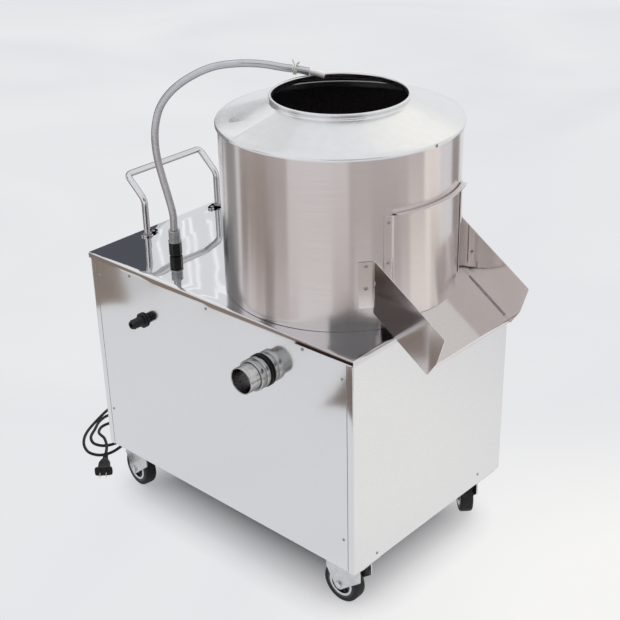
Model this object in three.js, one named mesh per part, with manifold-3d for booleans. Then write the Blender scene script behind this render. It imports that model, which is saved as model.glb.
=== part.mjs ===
// Electric potato peeler: a polished cabinet on four casters carries an upright
// peeling drum with a spinning abrasive disc, a lifting discharge gate and a chute.
// Millimetres, +Z up, +X the discharge end, -Y the long side with the drain.

import * as THREE from 'three';
import { mergeVertices } from 'three/addons/utils/BufferGeometryUtils.js';
import Module from 'manifold-3d';

const wasm = await Module();
wasm.setup();

// Cabinet
const sideMargin = 12;
const frontMargin = 7;
const rearDeck = 227;
const bodyHeight = 410;
const sheet = 1.5;
const rimDepth = 11;
const panelFlange = 13;
const panelJoint = 1;
const frameBar = 25;
const gap = 0.3;
const cutOver = 5;

// How many flat sides stand for a circle
const drumSides = 72;
const wideSides = 36;
const roundSides = 24;
const smallSides = 12;
const hexSides = 6;
const tubeSides = 10;

// Drum and lid
const drumRadius = 200;
const drumHeight = 288.5;
const linerThickness = 6.5;
const linerShort = 9;
const plateLedge = 6;
const skirtOverhang = 3.5;
const skirtHeight = 5;
const skirtOverlap = 3.5;
const coneRise = 29.5;
const collarRadius = 113.6;
const collarHeight = 5;
const beadRadius = 2.6;
const beadSteps = 6;

// Discharge opening, gate and guides
const openingHalfWidth = 78;
const openingTop = 180;
const gateOverlap = 6;
const gateAbove = 16;
const gateLip = 10;
const guideWidth = 22;
const guideAbove = 13;
const guideBase = 36;
const gateStandoff = 0.6;
const gateTrayGap = 1;
const arcSteps = 14;

// Chute: the tray falls from the drum past the front edge of the cabinet
const chuteBeyond = 36;
const trayStartHeight = 35;
const trayOverhang = 64.5;
const trayEndHeight = -36.5;
const trayHem = 5;
const guardTopStart = 122;
const guardNose = 33.5;
const guardNoseHeight = 31;
const guardChin = 19.5;
const guardChinHeight = -15;
const guardToe = 1.5;
const guardBelowTray = 3;
const tabWidth = 19;
const tabLow = 41;
const tabHigh = 124;

// Peeling disc, spindle and waste pan
const discClearance = 4.7;
const discLift = 2.5;
const discThickness = 6;
const discRidgeHeight = 11;
const discRidgeHalfWidth = 16;
const discRidgeInset = 8;
const discRidgeOutset = 19;
const discRidges = 3;
const discHubRadius = 34;
const discHubDepth = 26;
const paddleReachShare = 0.8;
const paddleThickness = 4;
const paddleDepth = 16;
const nutRadius = 20;
const nutHeight = 17;
const nutShoulderShare = 0.33;
const domeSteps = 5;
const spindleRadius = 12.5;
const panInset = 4;
const panDepth = 113;
const panFloor = 3;
const panBoreSlack = 0.9;
const sealRadius = 25;
const sealHeight = 11;

// Bearings and housing
const housingFlangeRadius = 62;
const housingFlange = 9;
const housingRadius = 38;
const housingLength = 150;
const housingBore = 20;
const bearingRadius = 26;
const bearingHeight = 15;
const runningGap = 0.4;

// Belt drive and motor
const pulleyLow = 18;
const pulleyWidth = 22;
const drivenRadius = 100;
const motorPulleyRadius = 36;
const grooveDepth = 11;
const grooveTop = 14;
const grooveFloor = 9;
const pulleyRim = 8;
const pulleyWebThickness = 8;
const pulleyHubRadius = 24;
const driveCentres = 255;
const beltSlack = 0.6;
const beltSteps = 24;
const beltWidth = 8;
const beltThickness = 8;
const motorShaftRadius = 10;
const shelfHoleSlack = 10;
const shaftBelowPulley = 4;
const shelfHeight = 44;
const shelfThickness = 4;
const shelfHalfLength = 105;
const motorFlangeHalf = 84;
const motorFlange = 11;
const motorRadius = 74;
const motorHeadroom = 6.9;
const cowlRadius = 68;
const cowlHeight = 38;
const cowlVentRadius = 34;
const cowlVentDepth = 12;
const terminalWidth = 62;
const terminalHeight = 74;
const terminalDepth = 30;
const motorBoreDepth = 30;

// Water line: inlet on the long side, hose over the drum into the feed opening
const hoseSetback = 93.6;
const hoseY = -118;
const hoseRadius = 6.8;
const hoseLift = 1.2;
const hoseBearing = 163;
const hoseSteps = 40;
const nutWidth = 24;
const hoseNutHeight = 25;
const collarRingHeight = 3;
const sleeveRadius = 10.5;
const sleeveHeight = 20;
const feedLineRadius = 7;
const inletShift = 4.6;
const inletStraight = 30;
const feedBend = 24;
const feedSteps = 22;
const inletHeight = -95;
const inletFlangeRadius = 14;
const inletFlange = 4;
const inletLength = 24;
const inletRadius = 8;
const inletRidge = 1.4;
const inletRidges = 3;
const spoutLength = 26;
const spoutRadius = 5.4;
const spoutDroop = 2;
const spoutSteps = 4;
const tieRadius = 2.4;
const tieLoopGap = 0.6;
const tieFromEnd = 25;
const tieSides = 6;
const tieSteps = 16;

// The hose's arch: share of the way to the feed rim, share of the height to climb
const hoseShares = [
  [0, 0], [0, 0.1], [-0.02, 0.2], [-0.053, 0.33], [-0.083, 0.47], [-0.089, 0.58], [-0.075, 0.68],
  [-0.03, 0.79], [0.06, 0.885], [0.2, 0.968], [0.36, 1.025], [0.53, 1.045], [0.7, 1.042],
  [0.86, 1.02], [0.96, 1.008], [1.04, 0.995],
];

// Drain on the long side
const drainX = 8;
const drainRadius = 23.5;
const drainWall = 2;
const drainReach = 49;
const drainSleeveRadius = 27.5;
const drainSleeveLength = 22;
const drainGasketRadius = 29;
const drainGasket = 4;

// Push handle at the rear
const handleRodRadius = 6;
const handleInset = 25;
const handleHalfSpan = 91.5;
const handleKnee = 70;
const handleTop = 109;
const handleLean = 44;
const handleBend = 10;
const handleSteps = 44;
const handleFlangeRadius = 13;
const handleFlange = 3;
const handleEar = 18;

// Casters
const casterInset = 48;
const casterSideInset = 42;
const wheelRadius = 37.5;
const wheelHeadroom = 12.4;
const wheelWidth = 24;
const casterTrail = 10;
const casterPlateLength = 90;
const casterPlateWidth = 66;
const casterPlate = 2.5;
const raceRadius = 27;
const raceHeight = 7;
const forkSheet = 2.5;
const forkHalfLength = 38;
const forkCheekDrop = 26;
const forkToeRadius = 10;
const wheelSideGap = 2;
const axleRadius = 4;
const axleHead = 4;
const axleHeadRadius = 7;
const hubRadius = 12;
const hubOut = 1.4;
const treadDepth = 8;
const dishDepth = 5;
const toeFromShare = -0.82;
const toeSpanShare = 0.64;
const toeSteps = 6;
const casterTurns = [
  { name: 'front_near', end: 1, side: -1, turn: 180 },
  { name: 'front_far', end: 1, side: 1, turn: 135 },
  { name: 'rear_near', end: -1, side: -1, turn: 172 },
  { name: 'rear_far', end: -1, side: 1, turn: 205 },
];

// Switch on the rear end panel
const switchY = 95;
const switchZ = -95;
const switchWidth = 62;
const switchHeight = 112;
const switchDepth = 40;
const bezel = 2;
const bezelBorder = 7;
const buttonRadius = 12;
const buttonSpread = 24;
const buttonOut = 6;
const buttonIn = 12;
const buttonTravel = 4;
const buttonGap = 0.5;

// Mains lead: it drops from the gland and lies in loose loops behind the cabinet
const cordRadius = 3.1;
const cordSides = 8;
const cordSteps = 76;
const cordEndGap = 0.4;
const glandY = 95;
const glandBelowTop = 190;
const glandNut = 9;
const glandNutRadius = 12;
const reliefLength = 32;
const reliefRadius = 7.5;
const reliefTip = 4.4;
const plugTail = 24;
const plugTailRadius = 4.6;
const plugBody = 38;
const plugNeckWidth = 13;
const plugWidth = 27;
const plugThickness = 16;
const plugFlange = 5;
const plugFlangeWidth = 36;
const plugFlangeHeight = 20;
const plugShoulder = 1;
const pinSpacing = 12.7;
const pinWidth = 6.3;
const pinThickness = 1.5;
const pinLength = 17;
const pinSocket = 6;
// The lead's way: first from the gland's tip, then from the foot of the rear face,
// with the height above a cord that lies on the floor
const cordHang = [
  [0, 0, 0], [-23.4, 0, -3], [-49.4, -1, -28], [-64.4, -2, -72],
];
const cordLay = [
  [-121, 90, 66.9], [-129, 90, 29.9], [-146, 90, 7.7], [-171, 88, 1.3], [-201, 73, 0.5],
  [-221, 42, 0.1], [-229, 2, 0], [-226.9, -34, 0], [-215.8, -68.9, 0], [-189.3, -128.2, 0],
  [-169.9, -152.9, 0], [-146.9, -169.8, 0], [-121.1, -177.3, 0], [-98.1, -169.5, 0], [-87, -148.1, 0],
  [-95, -95, 0], [-109, -60, 0], [-133, -36.1, 0], [-162, -27.1, 0], [-191.1, -34.9, 0],
  [-206.3, -58.2, 0], [-201.3, -85.1, 0], [-184, -112, 0], [-165.1, -138.2, 0], [-140.9, -148.9, 0],
  [-118.3, -140.5, 0], [-106.7, -115.1, 0], [-111.1, -86, 0], [-127.1, -61, 0], [-153.1, -54.6, 0.1],
  [-175.3, -68.7, 0.1], [-180.3, -94.8, 0.3], [-165.5, -116, 1.8], [-130.2, -129.2, 7.8], [-104, -144.5, 8.2],
  [-84, -163, 6.9],
];

// Finishes
const finishes = {
  mirrorSteel: { color: 0xd4d5d7, roughness: 0.12, metalness: 1 },
  brushedSteel: { color: 0xb9b5af, roughness: 0.32, metalness: 1 },
  dullSteel: { color: 0x8f9294, roughness: 0.5, metalness: 1 },
  castIron: { color: 0x4b4e50, roughness: 0.7, metalness: 0.6 },
  motorPaint: { color: 0x2f5d8a, roughness: 0.5, metalness: 0 },
  grit: { color: 0x1d1a18, roughness: 0.95, metalness: 0 },
  rubber: { color: 0x151515, roughness: 0.8, metalness: 0 },
  zinc: { color: 0xc9cbcd, roughness: 0.4, metalness: 1 },
  hose: { color: 0x9b9c9d, roughness: 0.3, metalness: 0 },
  white: { color: 0xe8e6df, roughness: 0.5, metalness: 0 },
  green: { color: 0x1d8a3c, roughness: 0.4, metalness: 0 },
  red: { color: 0xb51e1e, roughness: 0.4, metalness: 0 },
  brass: { color: 0xc7c3b4, roughness: 0.3, metalness: 1 },
};

// Derived planes
const forkTop = 2 * wheelRadius + wheelHeadroom + forkSheet;
const casterHeight = forkTop + gap + raceHeight + casterPlate + gap;
const topZ = casterHeight + bodyHeight;
const rearX = -(drumRadius + rearDeck);
const frontReach = drumRadius + frontMargin;
const halfWidth = drumRadius + sideMargin;
const panelRear = rearX + sheet + gap;
const panelFront = frontReach - sheet - gap;
const panelSide = halfWidth - sheet - gap;
const panelTop = topZ - sheet - gap;
const drumBase = topZ + gap;
const drumTop = drumBase + drumHeight;
const gateRadius = drumRadius + gateStandoff;
const gateTop = topZ + openingTop + gateAbove;
const chuteHalfWidth = openingHalfWidth + chuteBeyond;
const trayStart = Math.sqrt(drumRadius ** 2 - chuteHalfWidth ** 2);
const trayEnd = frontReach + trayOverhang;
const linerInner = drumRadius - sheet - gap - linerThickness;
const discRadius = linerInner - discClearance;
const discTop = topZ + discLift + discThickness;
const panRadius = drumRadius - panInset;
const panTop = topZ - sheet - gap;
const panLow = panTop - panDepth;
const housingTop = panLow - gap;
const housingLow = housingTop - housingLength;
const pulleyZ = casterHeight + pulleyLow;
const frameLow = casterHeight + sheet + gap;
const frameHigh = frameLow + frameBar;
const shelfTop = casterHeight + shelfHeight + frameBar;
const motorX = -driveCentres;
const spindleLow = pulleyZ - shaftBelowPulley;
const drainZ = panLow + panFloor + drainRadius + gap;
const hoseX = -(drumRadius + hoseSetback);
const inletX = hoseX + inletShift;
const handleX = rearX + handleInset;
const inletZ = topZ + inletHeight;
const glandZ = topZ - glandBelowTop;

// A geometry as a closed solid that can be joined and cut, and back again
function toSolid(geometry) {
  const bare = geometry.clone();
  bare.deleteAttribute('normal');
  bare.deleteAttribute('uv');
  const merged = mergeVertices(bare, 1e-4);
  const mesh = new wasm.Mesh({
    numProp: 3,
    vertProperties: new Float32Array(merged.attributes.position.array),
    triVerts: new Uint32Array(merged.index.array),
  });
  return new wasm.Manifold(mesh);
}

function toGeometry(solid) {
  const mesh = solid.getMesh();
  const geometry = new THREE.BufferGeometry();
  geometry.setAttribute('position', new THREE.BufferAttribute(mesh.vertProperties, 3));
  geometry.setIndex(new THREE.BufferAttribute(mesh.triVerts, 1));
  geometry.computeVertexNormals();
  return geometry;
}

function cut(base, ...tools) {
  return toGeometry(tools.reduce((solid, tool) => solid.subtract(toSolid(tool)), toSolid(base)));
}

function join(base, ...others) {
  return toGeometry(others.reduce((solid, other) => solid.add(toSolid(other)), toSolid(base)));
}

// Basic forms, each placed where it belongs
function block(x0, x1, y0, y1, z0, z1) {
  const geometry = new THREE.BoxGeometry(x1 - x0, y1 - y0, z1 - z0);
  geometry.translate((x0 + x1) / 2, (y0 + y1) / 2, (z0 + z1) / 2);
  return geometry;
}

function turned(profile, sides) {
  const loop = profile.map(([radius, height]) => new THREE.Vector2(radius, height));
  const geometry = new THREE.LatheGeometry([...loop, loop[0].clone()], sides);
  geometry.rotateX(Math.PI / 2);
  return geometry;
}

function turnedSolid(profile, sides) {
  const [first] = profile;
  const last = profile[profile.length - 1];
  const loop = [[0, first[1]], ...profile, [0, last[1]]];
  const points = loop.map(([radius, height]) => new THREE.Vector2(radius, height));
  const geometry = new THREE.LatheGeometry(points, sides);
  geometry.rotateX(Math.PI / 2);
  return geometry;
}

function post(radius, z0, z1, sides) {
  return turnedSolid([[radius, z0], [radius, z1]], sides);
}

function ring(inner, outer, z0, z1, sides) {
  return turned([[inner, z0], [outer, z0], [outer, z1], [inner, z1]], sides);
}

function slab(points, z0, z1) {
  const shape = new THREE.Shape(points.map(([x, y]) => new THREE.Vector2(x, y)));
  const geometry = new THREE.ExtrudeGeometry(shape, { depth: z1 - z0, bevelEnabled: false });
  geometry.translate(0, 0, z0);
  return geometry;
}

// A plate drawn in X and Z, standing between two Y planes
function wall(points, y0, y1) {
  const geometry = slab(points, -y1, -y0);
  geometry.rotateX(Math.PI / 2);
  return geometry;
}

// A curved plate round the drum's axis between two angles in degrees
function arcPlate(inner, outer, fromAngle, toAngle, z0, z1) {
  const points = [];
  for (let step = 0; step <= arcSteps; step += 1) {
    const angle = THREE.MathUtils.degToRad(fromAngle + (toAngle - fromAngle) * step / arcSteps);
    points.push([outer * Math.cos(angle), outer * Math.sin(angle)]);
  }
  for (let step = arcSteps; step >= 0; step -= 1) {
    const angle = THREE.MathUtils.degToRad(fromAngle + (toAngle - fromAngle) * step / arcSteps);
    points.push([inner * Math.cos(angle), inner * Math.sin(angle)]);
  }
  return slab(points, z0, z1);
}

function tube(curve, radius, steps, sides) {
  const section = new THREE.Shape();
  for (let side = 0; side < sides; side += 1) {
    const angle = 2 * Math.PI * side / sides;
    const draw = side === 0 ? 'moveTo' : 'lineTo';
    section[draw](radius * Math.cos(angle), radius * Math.sin(angle));
  }
  return new THREE.ExtrudeGeometry(section, { steps, bevelEnabled: false, extrudePath: curve });
}

// A run of straight lines whose corners are rounded off by the given reach
function bentPath(points, reach) {
  const corners = points.map((point) => new THREE.Vector3(...point));
  const path = new THREE.CurvePath();
  let from = corners[0];
  for (let index = 1; index < corners.length - 1; index += 1) {
    const corner = corners[index];
    const before = corner.clone().lerp(corners[index - 1], reach / corner.distanceTo(corners[index - 1]));
    const after = corner.clone().lerp(corners[index + 1], reach / corner.distanceTo(corners[index + 1]));
    path.add(new THREE.LineCurve3(from, before));
    path.add(new THREE.QuadraticBezierCurve3(before, corner, after));
    from = after;
  }
  path.add(new THREE.LineCurve3(from, corners[corners.length - 1]));
  return path;
}

// Height of the tray's upper face above a place on the X axis
function trayHeight(x) {
  const slope = (trayEndHeight - trayStartHeight) / (trayEnd - trayStart);
  return topZ + trayStartHeight + slope * (x - trayStart);
}

// Everything below the tray's upper face, raised by the given amount
function belowTray(raise) {
  const near = trayStart - drumRadius;
  const far = trayEnd + drumRadius;
  const outline = [
    [near, 0], [far, 0],
    [far, trayHeight(far) + raise], [near, trayHeight(near) + raise],
  ];
  return wall(outline, -2 * halfWidth, 2 * halfWidth);
}

const model = new THREE.Group();
const materials = Object.fromEntries(
  Object.entries(finishes).map(([name, values]) => [name, new THREE.MeshStandardMaterial(values)]),
);

function add(name, geometry, finish, holder = model) {
  const mesh = new THREE.Mesh(geometry, materials[finish].clone());
  mesh.name = name;
  holder.add(mesh);
  return mesh;
}

// Cabinet
function topPlate() {
  const outer = block(rearX, frontReach, -halfWidth, halfWidth, topZ - rimDepth, topZ);
  const inner = block(
    rearX + sheet, frontReach - sheet, -halfWidth + sheet, halfWidth - sheet,
    topZ - rimDepth - cutOver, topZ - sheet,
  );
  const drumHole = post(drumRadius - plateLedge, topZ - rimDepth, topZ + cutOver, drumSides);
  const lineHole = post(feedLineRadius + runningGap, topZ - rimDepth, topZ + cutOver, roundSides);
  lineHole.translate(hoseX, hoseY, 0);
  return cut(outer, inner, drumHole, lineHole);
}

function endPanel(outerX, inward) {
  const spanX = (from, to) => [outerX + inward * from, outerX + inward * to].sort((a, b) => a - b);
  const outer = block(...spanX(0, panelFlange), -panelSide, panelSide, casterHeight, panelTop);
  const inner = block(
    ...spanX(sheet, panelFlange + cutOver), sheet - panelSide, panelSide - sheet,
    casterHeight + sheet, panelTop + cutOver,
  );
  return cut(outer, inner);
}

function rearEndPanel() {
  const glandHole = post(reliefRadius + runningGap, -cutOver, sheet + cutOver, roundSides);
  glandHole.rotateY(Math.PI / 2);
  glandHole.translate(panelRear, glandY, glandZ);
  const window = block(
    panelRear - cutOver, panelRear + sheet + cutOver,
    switchY - switchWidth / 2 - gap, switchY + switchWidth / 2 + gap,
    topZ + switchZ - switchHeight / 2 - gap, topZ + switchZ + switchHeight / 2 + gap,
  );
  return cut(endPanel(panelRear, 1), glandHole, window);
}

function sidePanel(side) {
  const startX = panelRear + panelFlange + panelJoint;
  const endX = panelFront - panelFlange - panelJoint;
  const spanY = (from, to) => [side * (panelSide - from), side * (panelSide - to)].sort((a, b) => a - b);
  const outer = block(startX, endX, ...spanY(0, panelFlange), casterHeight, panelTop);
  const inner = block(
    startX - cutOver, endX + cutOver, ...spanY(sheet, panelFlange + cutOver),
    casterHeight + sheet, panelTop + cutOver,
  );
  return cut(outer, inner);
}

function crossHole(radius, x, z) {
  const hole = post(radius, panelSide - panelFlange, panelSide + cutOver, roundSides);
  hole.rotateX(Math.PI / 2);
  hole.translate(x, 0, z);
  return hole;
}

function nearSidePanel() {
  const drainHole = crossHole(drainRadius + runningGap, drainX, drainZ);
  const inletHole = crossHole(feedLineRadius + runningGap, inletX, inletZ);
  return cut(sidePanel(-1), drainHole, inletHole);
}

function baseFrame() {
  const x0 = panelRear + sheet + gap;
  const x1 = panelFront - sheet - gap;
  const y1 = panelSide - sheet - gap;
  const outer = block(x0, x1, -y1, y1, frameLow, frameHigh);
  const inner = block(
    x0 + frameBar, x1 - frameBar, frameBar - y1, y1 - frameBar,
    frameLow - cutOver, frameHigh + cutOver,
  );
  const posts = [];
  for (const x of [x0, x1 - frameBar]) {
    for (const y of [-y1, y1 - frameBar]) {
      posts.push(block(x, x + frameBar, y, y + frameBar, frameLow, panelTop));
    }
  }
  return join(cut(outer, inner), ...posts);
}

// Drum, liner and lid
function dischargeOpening() {
  const tall = block(0, drumRadius + cutOver, -openingHalfWidth, openingHalfWidth, topZ, topZ + openingTop);
  return cut(tall, belowTray(0));
}

function drumShell() {
  return cut(ring(drumRadius - sheet, drumRadius, drumBase, drumTop, drumSides), dischargeOpening());
}

function abrasiveLiner() {
  const outer = drumRadius - sheet - gap;
  const high = drumTop - linerShort;
  return cut(ring(linerInner, outer, drumBase, high, drumSides), dischargeOpening());
}

function lid() {
  const skirt = drumRadius + skirtOverhang;
  const skirtLow = drumTop - skirtOverlap;
  const coneLow = skirtLow + skirtHeight;
  const coneHigh = coneLow + coneRise;
  const beadLow = coneHigh + collarHeight;
  const beadMid = collarRadius - sheet / 2;
  const bead = [];
  for (let index = 0; index <= beadSteps; index += 1) {
    const angle = -Math.PI / 4 + (3 * Math.PI / 2) * index / beadSteps;
    const rise = beadRadius + beadRadius * Math.sin(angle);
    bead.push([beadMid + beadRadius * Math.cos(angle), beadLow + rise]);
  }
  return turned([
    [skirt - sheet, skirtLow], [skirt, skirtLow], [skirt, coneLow],
    [collarRadius, coneHigh], [collarRadius, beadLow], ...bead,
    [collarRadius - sheet, beadLow], [collarRadius - sheet, coneHigh - sheet],
    [skirt - sheet, coneLow - sheet],
  ], drumSides);
}

// Gate: a curved door that lifts between two guides
function angleAt(offset, radius) {
  return THREE.MathUtils.radToDeg(Math.asin(offset / radius));
}

function gateDoor() {
  const half = angleAt(openingHalfWidth + gateOverlap, gateRadius);
  const outer = gateRadius + sheet;
  const door = arcPlate(gateRadius, outer, -half, half, topZ, gateTop);
  const lip = arcPlate(gateRadius, outer + gateLip, -half, half, gateTop - sheet, gateTop);
  return cut(join(door, lip), belowTray(gateTrayGap));
}

function gateGuide(side) {
  const doorOuter = gateRadius + sheet;
  const innerEdge = angleAt(openingHalfWidth, drumRadius);
  const doorEdge = angleAt(openingHalfWidth + gateOverlap + gateStandoff, drumRadius);
  const outerEdge = angleAt(openingHalfWidth + guideWidth, drumRadius);
  const seat = drumRadius + gap;
  const cover = doorOuter + gateStandoff;
  const high = topZ + openingTop + guideAbove;
  const low = topZ + guideBase;
  const base = arcPlate(seat, cover + sheet, doorEdge, outerEdge, low, high);
  const lip = arcPlate(cover, cover + sheet, innerEdge, outerEdge, low, high);
  return onSide(cut(join(base, lip), belowTray(gateTrayGap)), side);
}

// A piece drawn for the far side, or its mirror image for the near side. Mirroring
// turns a solid inside out, so its triangles are then wound the other way.
function onSide(geometry, side) {
  if (side > 0) {
    return geometry;
  }
  geometry.scale(1, side, 1);
  const order = geometry.index.array;
  for (let corner = 0; corner < order.length; corner += 3) {
    [order[corner], order[corner + 1]] = [order[corner + 1], order[corner]];
  }
  geometry.computeVertexNormals();
  return geometry;
}

// Chute
function drumClearance() {
  return post(drumRadius + gap, casterHeight, drumTop, drumSides);
}

function chuteTray() {
  const side = chuteHalfWidth - sheet - gap;
  const startX = trayStart - cutOver;
  const outline = [
    [startX, trayHeight(startX) - sheet], [trayEnd - sheet, trayHeight(trayEnd) - sheet],
    [trayEnd - sheet, trayHeight(trayEnd) - trayHem], [trayEnd, trayHeight(trayEnd) - trayHem],
    [trayEnd, trayHeight(trayEnd)], [startX, trayHeight(startX)],
  ];
  return cut(wall(outline, -side, side), drumClearance());
}

function chuteGuard(side) {
  const startX = trayStart - cutOver;
  const outline = [
    [startX, trayHeight(startX) - sheet - guardBelowTray],
    [trayEnd + guardToe, trayHeight(trayEnd + guardToe) - sheet - guardBelowTray],
    [trayEnd + guardChin, topZ + guardChinHeight],
    [trayEnd + guardNose, topZ + guardNoseHeight],
    [trayStart, topZ + guardTopStart], [startX, topZ + guardTopStart],
  ];
  const outer = chuteHalfWidth;
  const plate = wall(outline, outer - sheet, outer);
  const from = angleAt(outer - sheet, drumRadius);
  const to = angleAt(outer + tabWidth, drumRadius);
  const seat = drumRadius + gap;
  const tab = arcPlate(seat, seat + sheet, from, to, topZ + tabLow, topZ + tabHigh - sheet);
  return onSide(cut(join(plate, tab), drumClearance()), side);
}

// Disc, spindle, pan and bearings
function abrasiveDisc() {
  const low = topZ + discLift;
  const bore = spindleRadius + runningGap;
  const hubLow = low - discHubDepth;
  const plate = turned([
    [bore, hubLow], [discHubRadius, hubLow], [discHubRadius, low],
    [discRadius, low], [discRadius, discTop], [bore, discTop],
  ], drumSides);
  const ridges = [];
  for (let index = 0; index < discRidges; index += 1) {
    const ridge = wall([
      [-discRidgeHalfWidth, discTop - discThickness / 2], [discRidgeHalfWidth, discTop - discThickness / 2],
      [0, discTop + discRidgeHeight],
    ], discHubRadius + discRidgeInset, discRadius - discRidgeOutset);
    ridge.rotateZ(2 * Math.PI * index / discRidges);
    ridges.push(ridge);
  }
  const reach = discRadius * paddleReachShare;
  const paddle = block(
    -paddleThickness / 2, paddleThickness / 2, -reach, reach,
    low - paddleDepth, low + discThickness / 2,
  );
  const clear = post((discHubRadius + bore) / 2, hubLow - cutOver, discTop + cutOver, wideSides);
  return join(plate, cut(paddle, clear), ...ridges);
}

function discNut() {
  const base = discTop + gap;
  const shoulder = base + nutHeight * nutShoulderShare;
  const dome = [];
  for (let step = 0; step < domeSteps; step += 1) {
    const angle = (Math.PI / 2) * step / domeSteps;
    dome.push([nutRadius * Math.cos(angle), shoulder + (base + nutHeight - shoulder) * Math.sin(angle)]);
  }
  return turnedSolid([[nutRadius, base], ...dome, [nutRadius / 4, base + nutHeight]], roundSides);
}

function wastePan() {
  const floorTop = panLow + panFloor;
  const bore = spindleRadius + panBoreSlack;
  const basin = turned([
    [bore, panLow], [panRadius, panLow], [panRadius, panTop],
    [panRadius - sheet, panTop], [panRadius - sheet, floorTop], [bore, floorTop],
  ], drumSides);
  const outlet = post(drainRadius - drainWall, 0, panRadius + cutOver, roundSides);
  outlet.rotateX(Math.PI / 2);
  outlet.translate(drainX, -panRadius / 2, drainZ);
  return cut(basin, outlet);
}

function bearingHousing() {
  const seat = bearingRadius + runningGap;
  const topSeat = housingTop - bearingHeight - gap;
  const lowSeat = housingLow + bearingHeight + gap;
  return turned([
    [seat, housingLow], [housingRadius, housingLow], [housingRadius, housingTop - housingFlange],
    [housingFlangeRadius, housingTop - housingFlange], [housingFlangeRadius, housingTop],
    [seat, housingTop], [seat, topSeat], [housingBore, topSeat], [housingBore, lowSeat], [seat, lowSeat],
  ], wideSides);
}

function shaftSeal() {
  const low = panLow + panFloor + gap;
  return ring(spindleRadius + gap, sealRadius, low, low + sealHeight, roundSides);
}

function bearing(low) {
  return ring(spindleRadius + gap, bearingRadius, low, low + bearingHeight, roundSides);
}

// A pulley with a belt groove. A large one has a thin web between its rim and hub.
function pulley(radius, bore) {
  const low = pulleyZ;
  const high = pulleyZ + pulleyWidth;
  const middle = (low + high) / 2;
  const rim = radius - grooveDepth - pulleyRim;
  const web = pulleyWebThickness / 2;
  const dished = rim > pulleyHubRadius;
  const below = [[pulleyHubRadius, low], [pulleyHubRadius, middle - web], [rim, middle - web], [rim, low]];
  const above = below.map(([across, height]) => [across, low + high - height]).reverse();
  return turned([
    [bore, low], ...(dished ? below : []), [radius, low],
    [radius, middle - grooveTop / 2], [radius - grooveDepth, middle - grooveFloor / 2],
    [radius - grooveDepth, middle + grooveFloor / 2], [radius, middle + grooveTop / 2],
    [radius, high], ...(dished ? above : []), [bore, high],
  ], roundSides);
}

function beltOutline(big, small) {
  const meet = Math.PI - Math.acos((big - small) / driveCentres);
  const points = [];
  for (let step = 0; step <= beltSteps; step += 1) {
    const angle = -meet + 2 * meet * step / beltSteps;
    points.push([big * Math.cos(angle), big * Math.sin(angle)]);
  }
  for (let step = 0; step <= beltSteps; step += 1) {
    const angle = meet + 2 * (Math.PI - meet) * step / beltSteps;
    points.push([motorX + small * Math.cos(angle), small * Math.sin(angle)]);
  }
  return points;
}

function driveBelt() {
  const floorGap = grooveDepth - beltSlack;
  const big = drivenRadius - floorGap;
  const small = motorPulleyRadius - floorGap;
  const middle = pulleyZ + pulleyWidth / 2;
  const [low, high] = [middle - beltWidth / 2, middle + beltWidth / 2];
  const outer = slab(beltOutline(big + beltThickness, small + beltThickness), low, high);
  const inner = slab(beltOutline(big, small), low - cutOver, high + cutOver);
  return cut(outer, inner);
}

function motorShelf() {
  const x0 = motorX - shelfHalfLength;
  const x1 = motorX + shelfHalfLength;
  const y1 = panelSide - sheet - gap;
  const top = block(x0, x1, -y1, y1, shelfTop - shelfThickness, shelfTop);
  const nearLeg = block(x0, x1, -y1, -y1 + shelfThickness, frameHigh + gap, shelfTop);
  const farLeg = block(x0, x1, y1 - shelfThickness, y1, frameHigh + gap, shelfTop);
  const holeLow = shelfTop - shelfThickness - cutOver;
  const shaftHole = post(motorShaftRadius + shelfHoleSlack, holeLow, shelfTop + cutOver, roundSides);
  shaftHole.translate(motorX, 0, 0);
  return cut(join(top, nearLeg, farLeg), shaftHole);
}

function motorBody() {
  const base = shelfTop + gap;
  const flangeTop = base + motorFlange;
  const cowlTop = panLow - motorHeadroom;
  const bodyTop = cowlTop - cowlHeight;
  const half = motorFlangeHalf;
  const flange = block(-half, half, -half, half, base, flangeTop);
  const casing = turnedSolid([
    [motorRadius, flangeTop - motorFlange / 2], [motorRadius, bodyTop],
    [cowlRadius, bodyTop], [cowlRadius, cowlTop],
    [cowlVentRadius, cowlTop], [cowlVentRadius, cowlTop - cowlVentDepth],
  ], wideSides);
  const terminal = block(
    motorRadius / 2, motorRadius + terminalDepth, -terminalWidth / 2, terminalWidth / 2,
    flangeTop + terminalHeight / 2, flangeTop + terminalHeight + terminalHeight / 2,
  );
  const bore = post(motorShaftRadius + runningGap, base - cutOver, base + motorBoreDepth, roundSides);
  const motor = cut(join(flange, casing, terminal), bore);
  motor.translate(motorX, 0, 0);
  return motor;
}

// Water line
const archBase = new THREE.Vector2(hoseX, hoseY);
const rimAngle = THREE.MathUtils.degToRad(hoseBearing);
const archEnd = new THREE.Vector2(Math.cos(rimAngle), Math.sin(rimAngle)).multiplyScalar(collarRadius);
const archSpan = archBase.distanceTo(archEnd);

// A place on the hose's own upright plane: share of the way to the rim, and height
function onArch(alongShare, height) {
  const spot = archBase.clone().lerp(archEnd, alongShare);
  return [spot.x, spot.y, height];
}

const lidTop = drumTop - skirtOverlap + skirtHeight + coneRise + collarHeight + 2 * beadRadius;
const hoseStart = topZ + gap + hoseNutHeight + gap + collarRingHeight + sleeveHeight + gap;
const hoseRest = lidTop + hoseLift + hoseRadius;

function hoseCurve() {
  const span = hoseRest - hoseStart;
  const points = hoseShares.map(([along, height]) => onArch(along, hoseStart + span * height));
  return new THREE.CatmullRomCurve3(points.map((point) => new THREE.Vector3(...point)));
}

function waterHose() {
  return tube(hoseCurve(), hoseRadius, hoseSteps, tubeSides);
}

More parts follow.
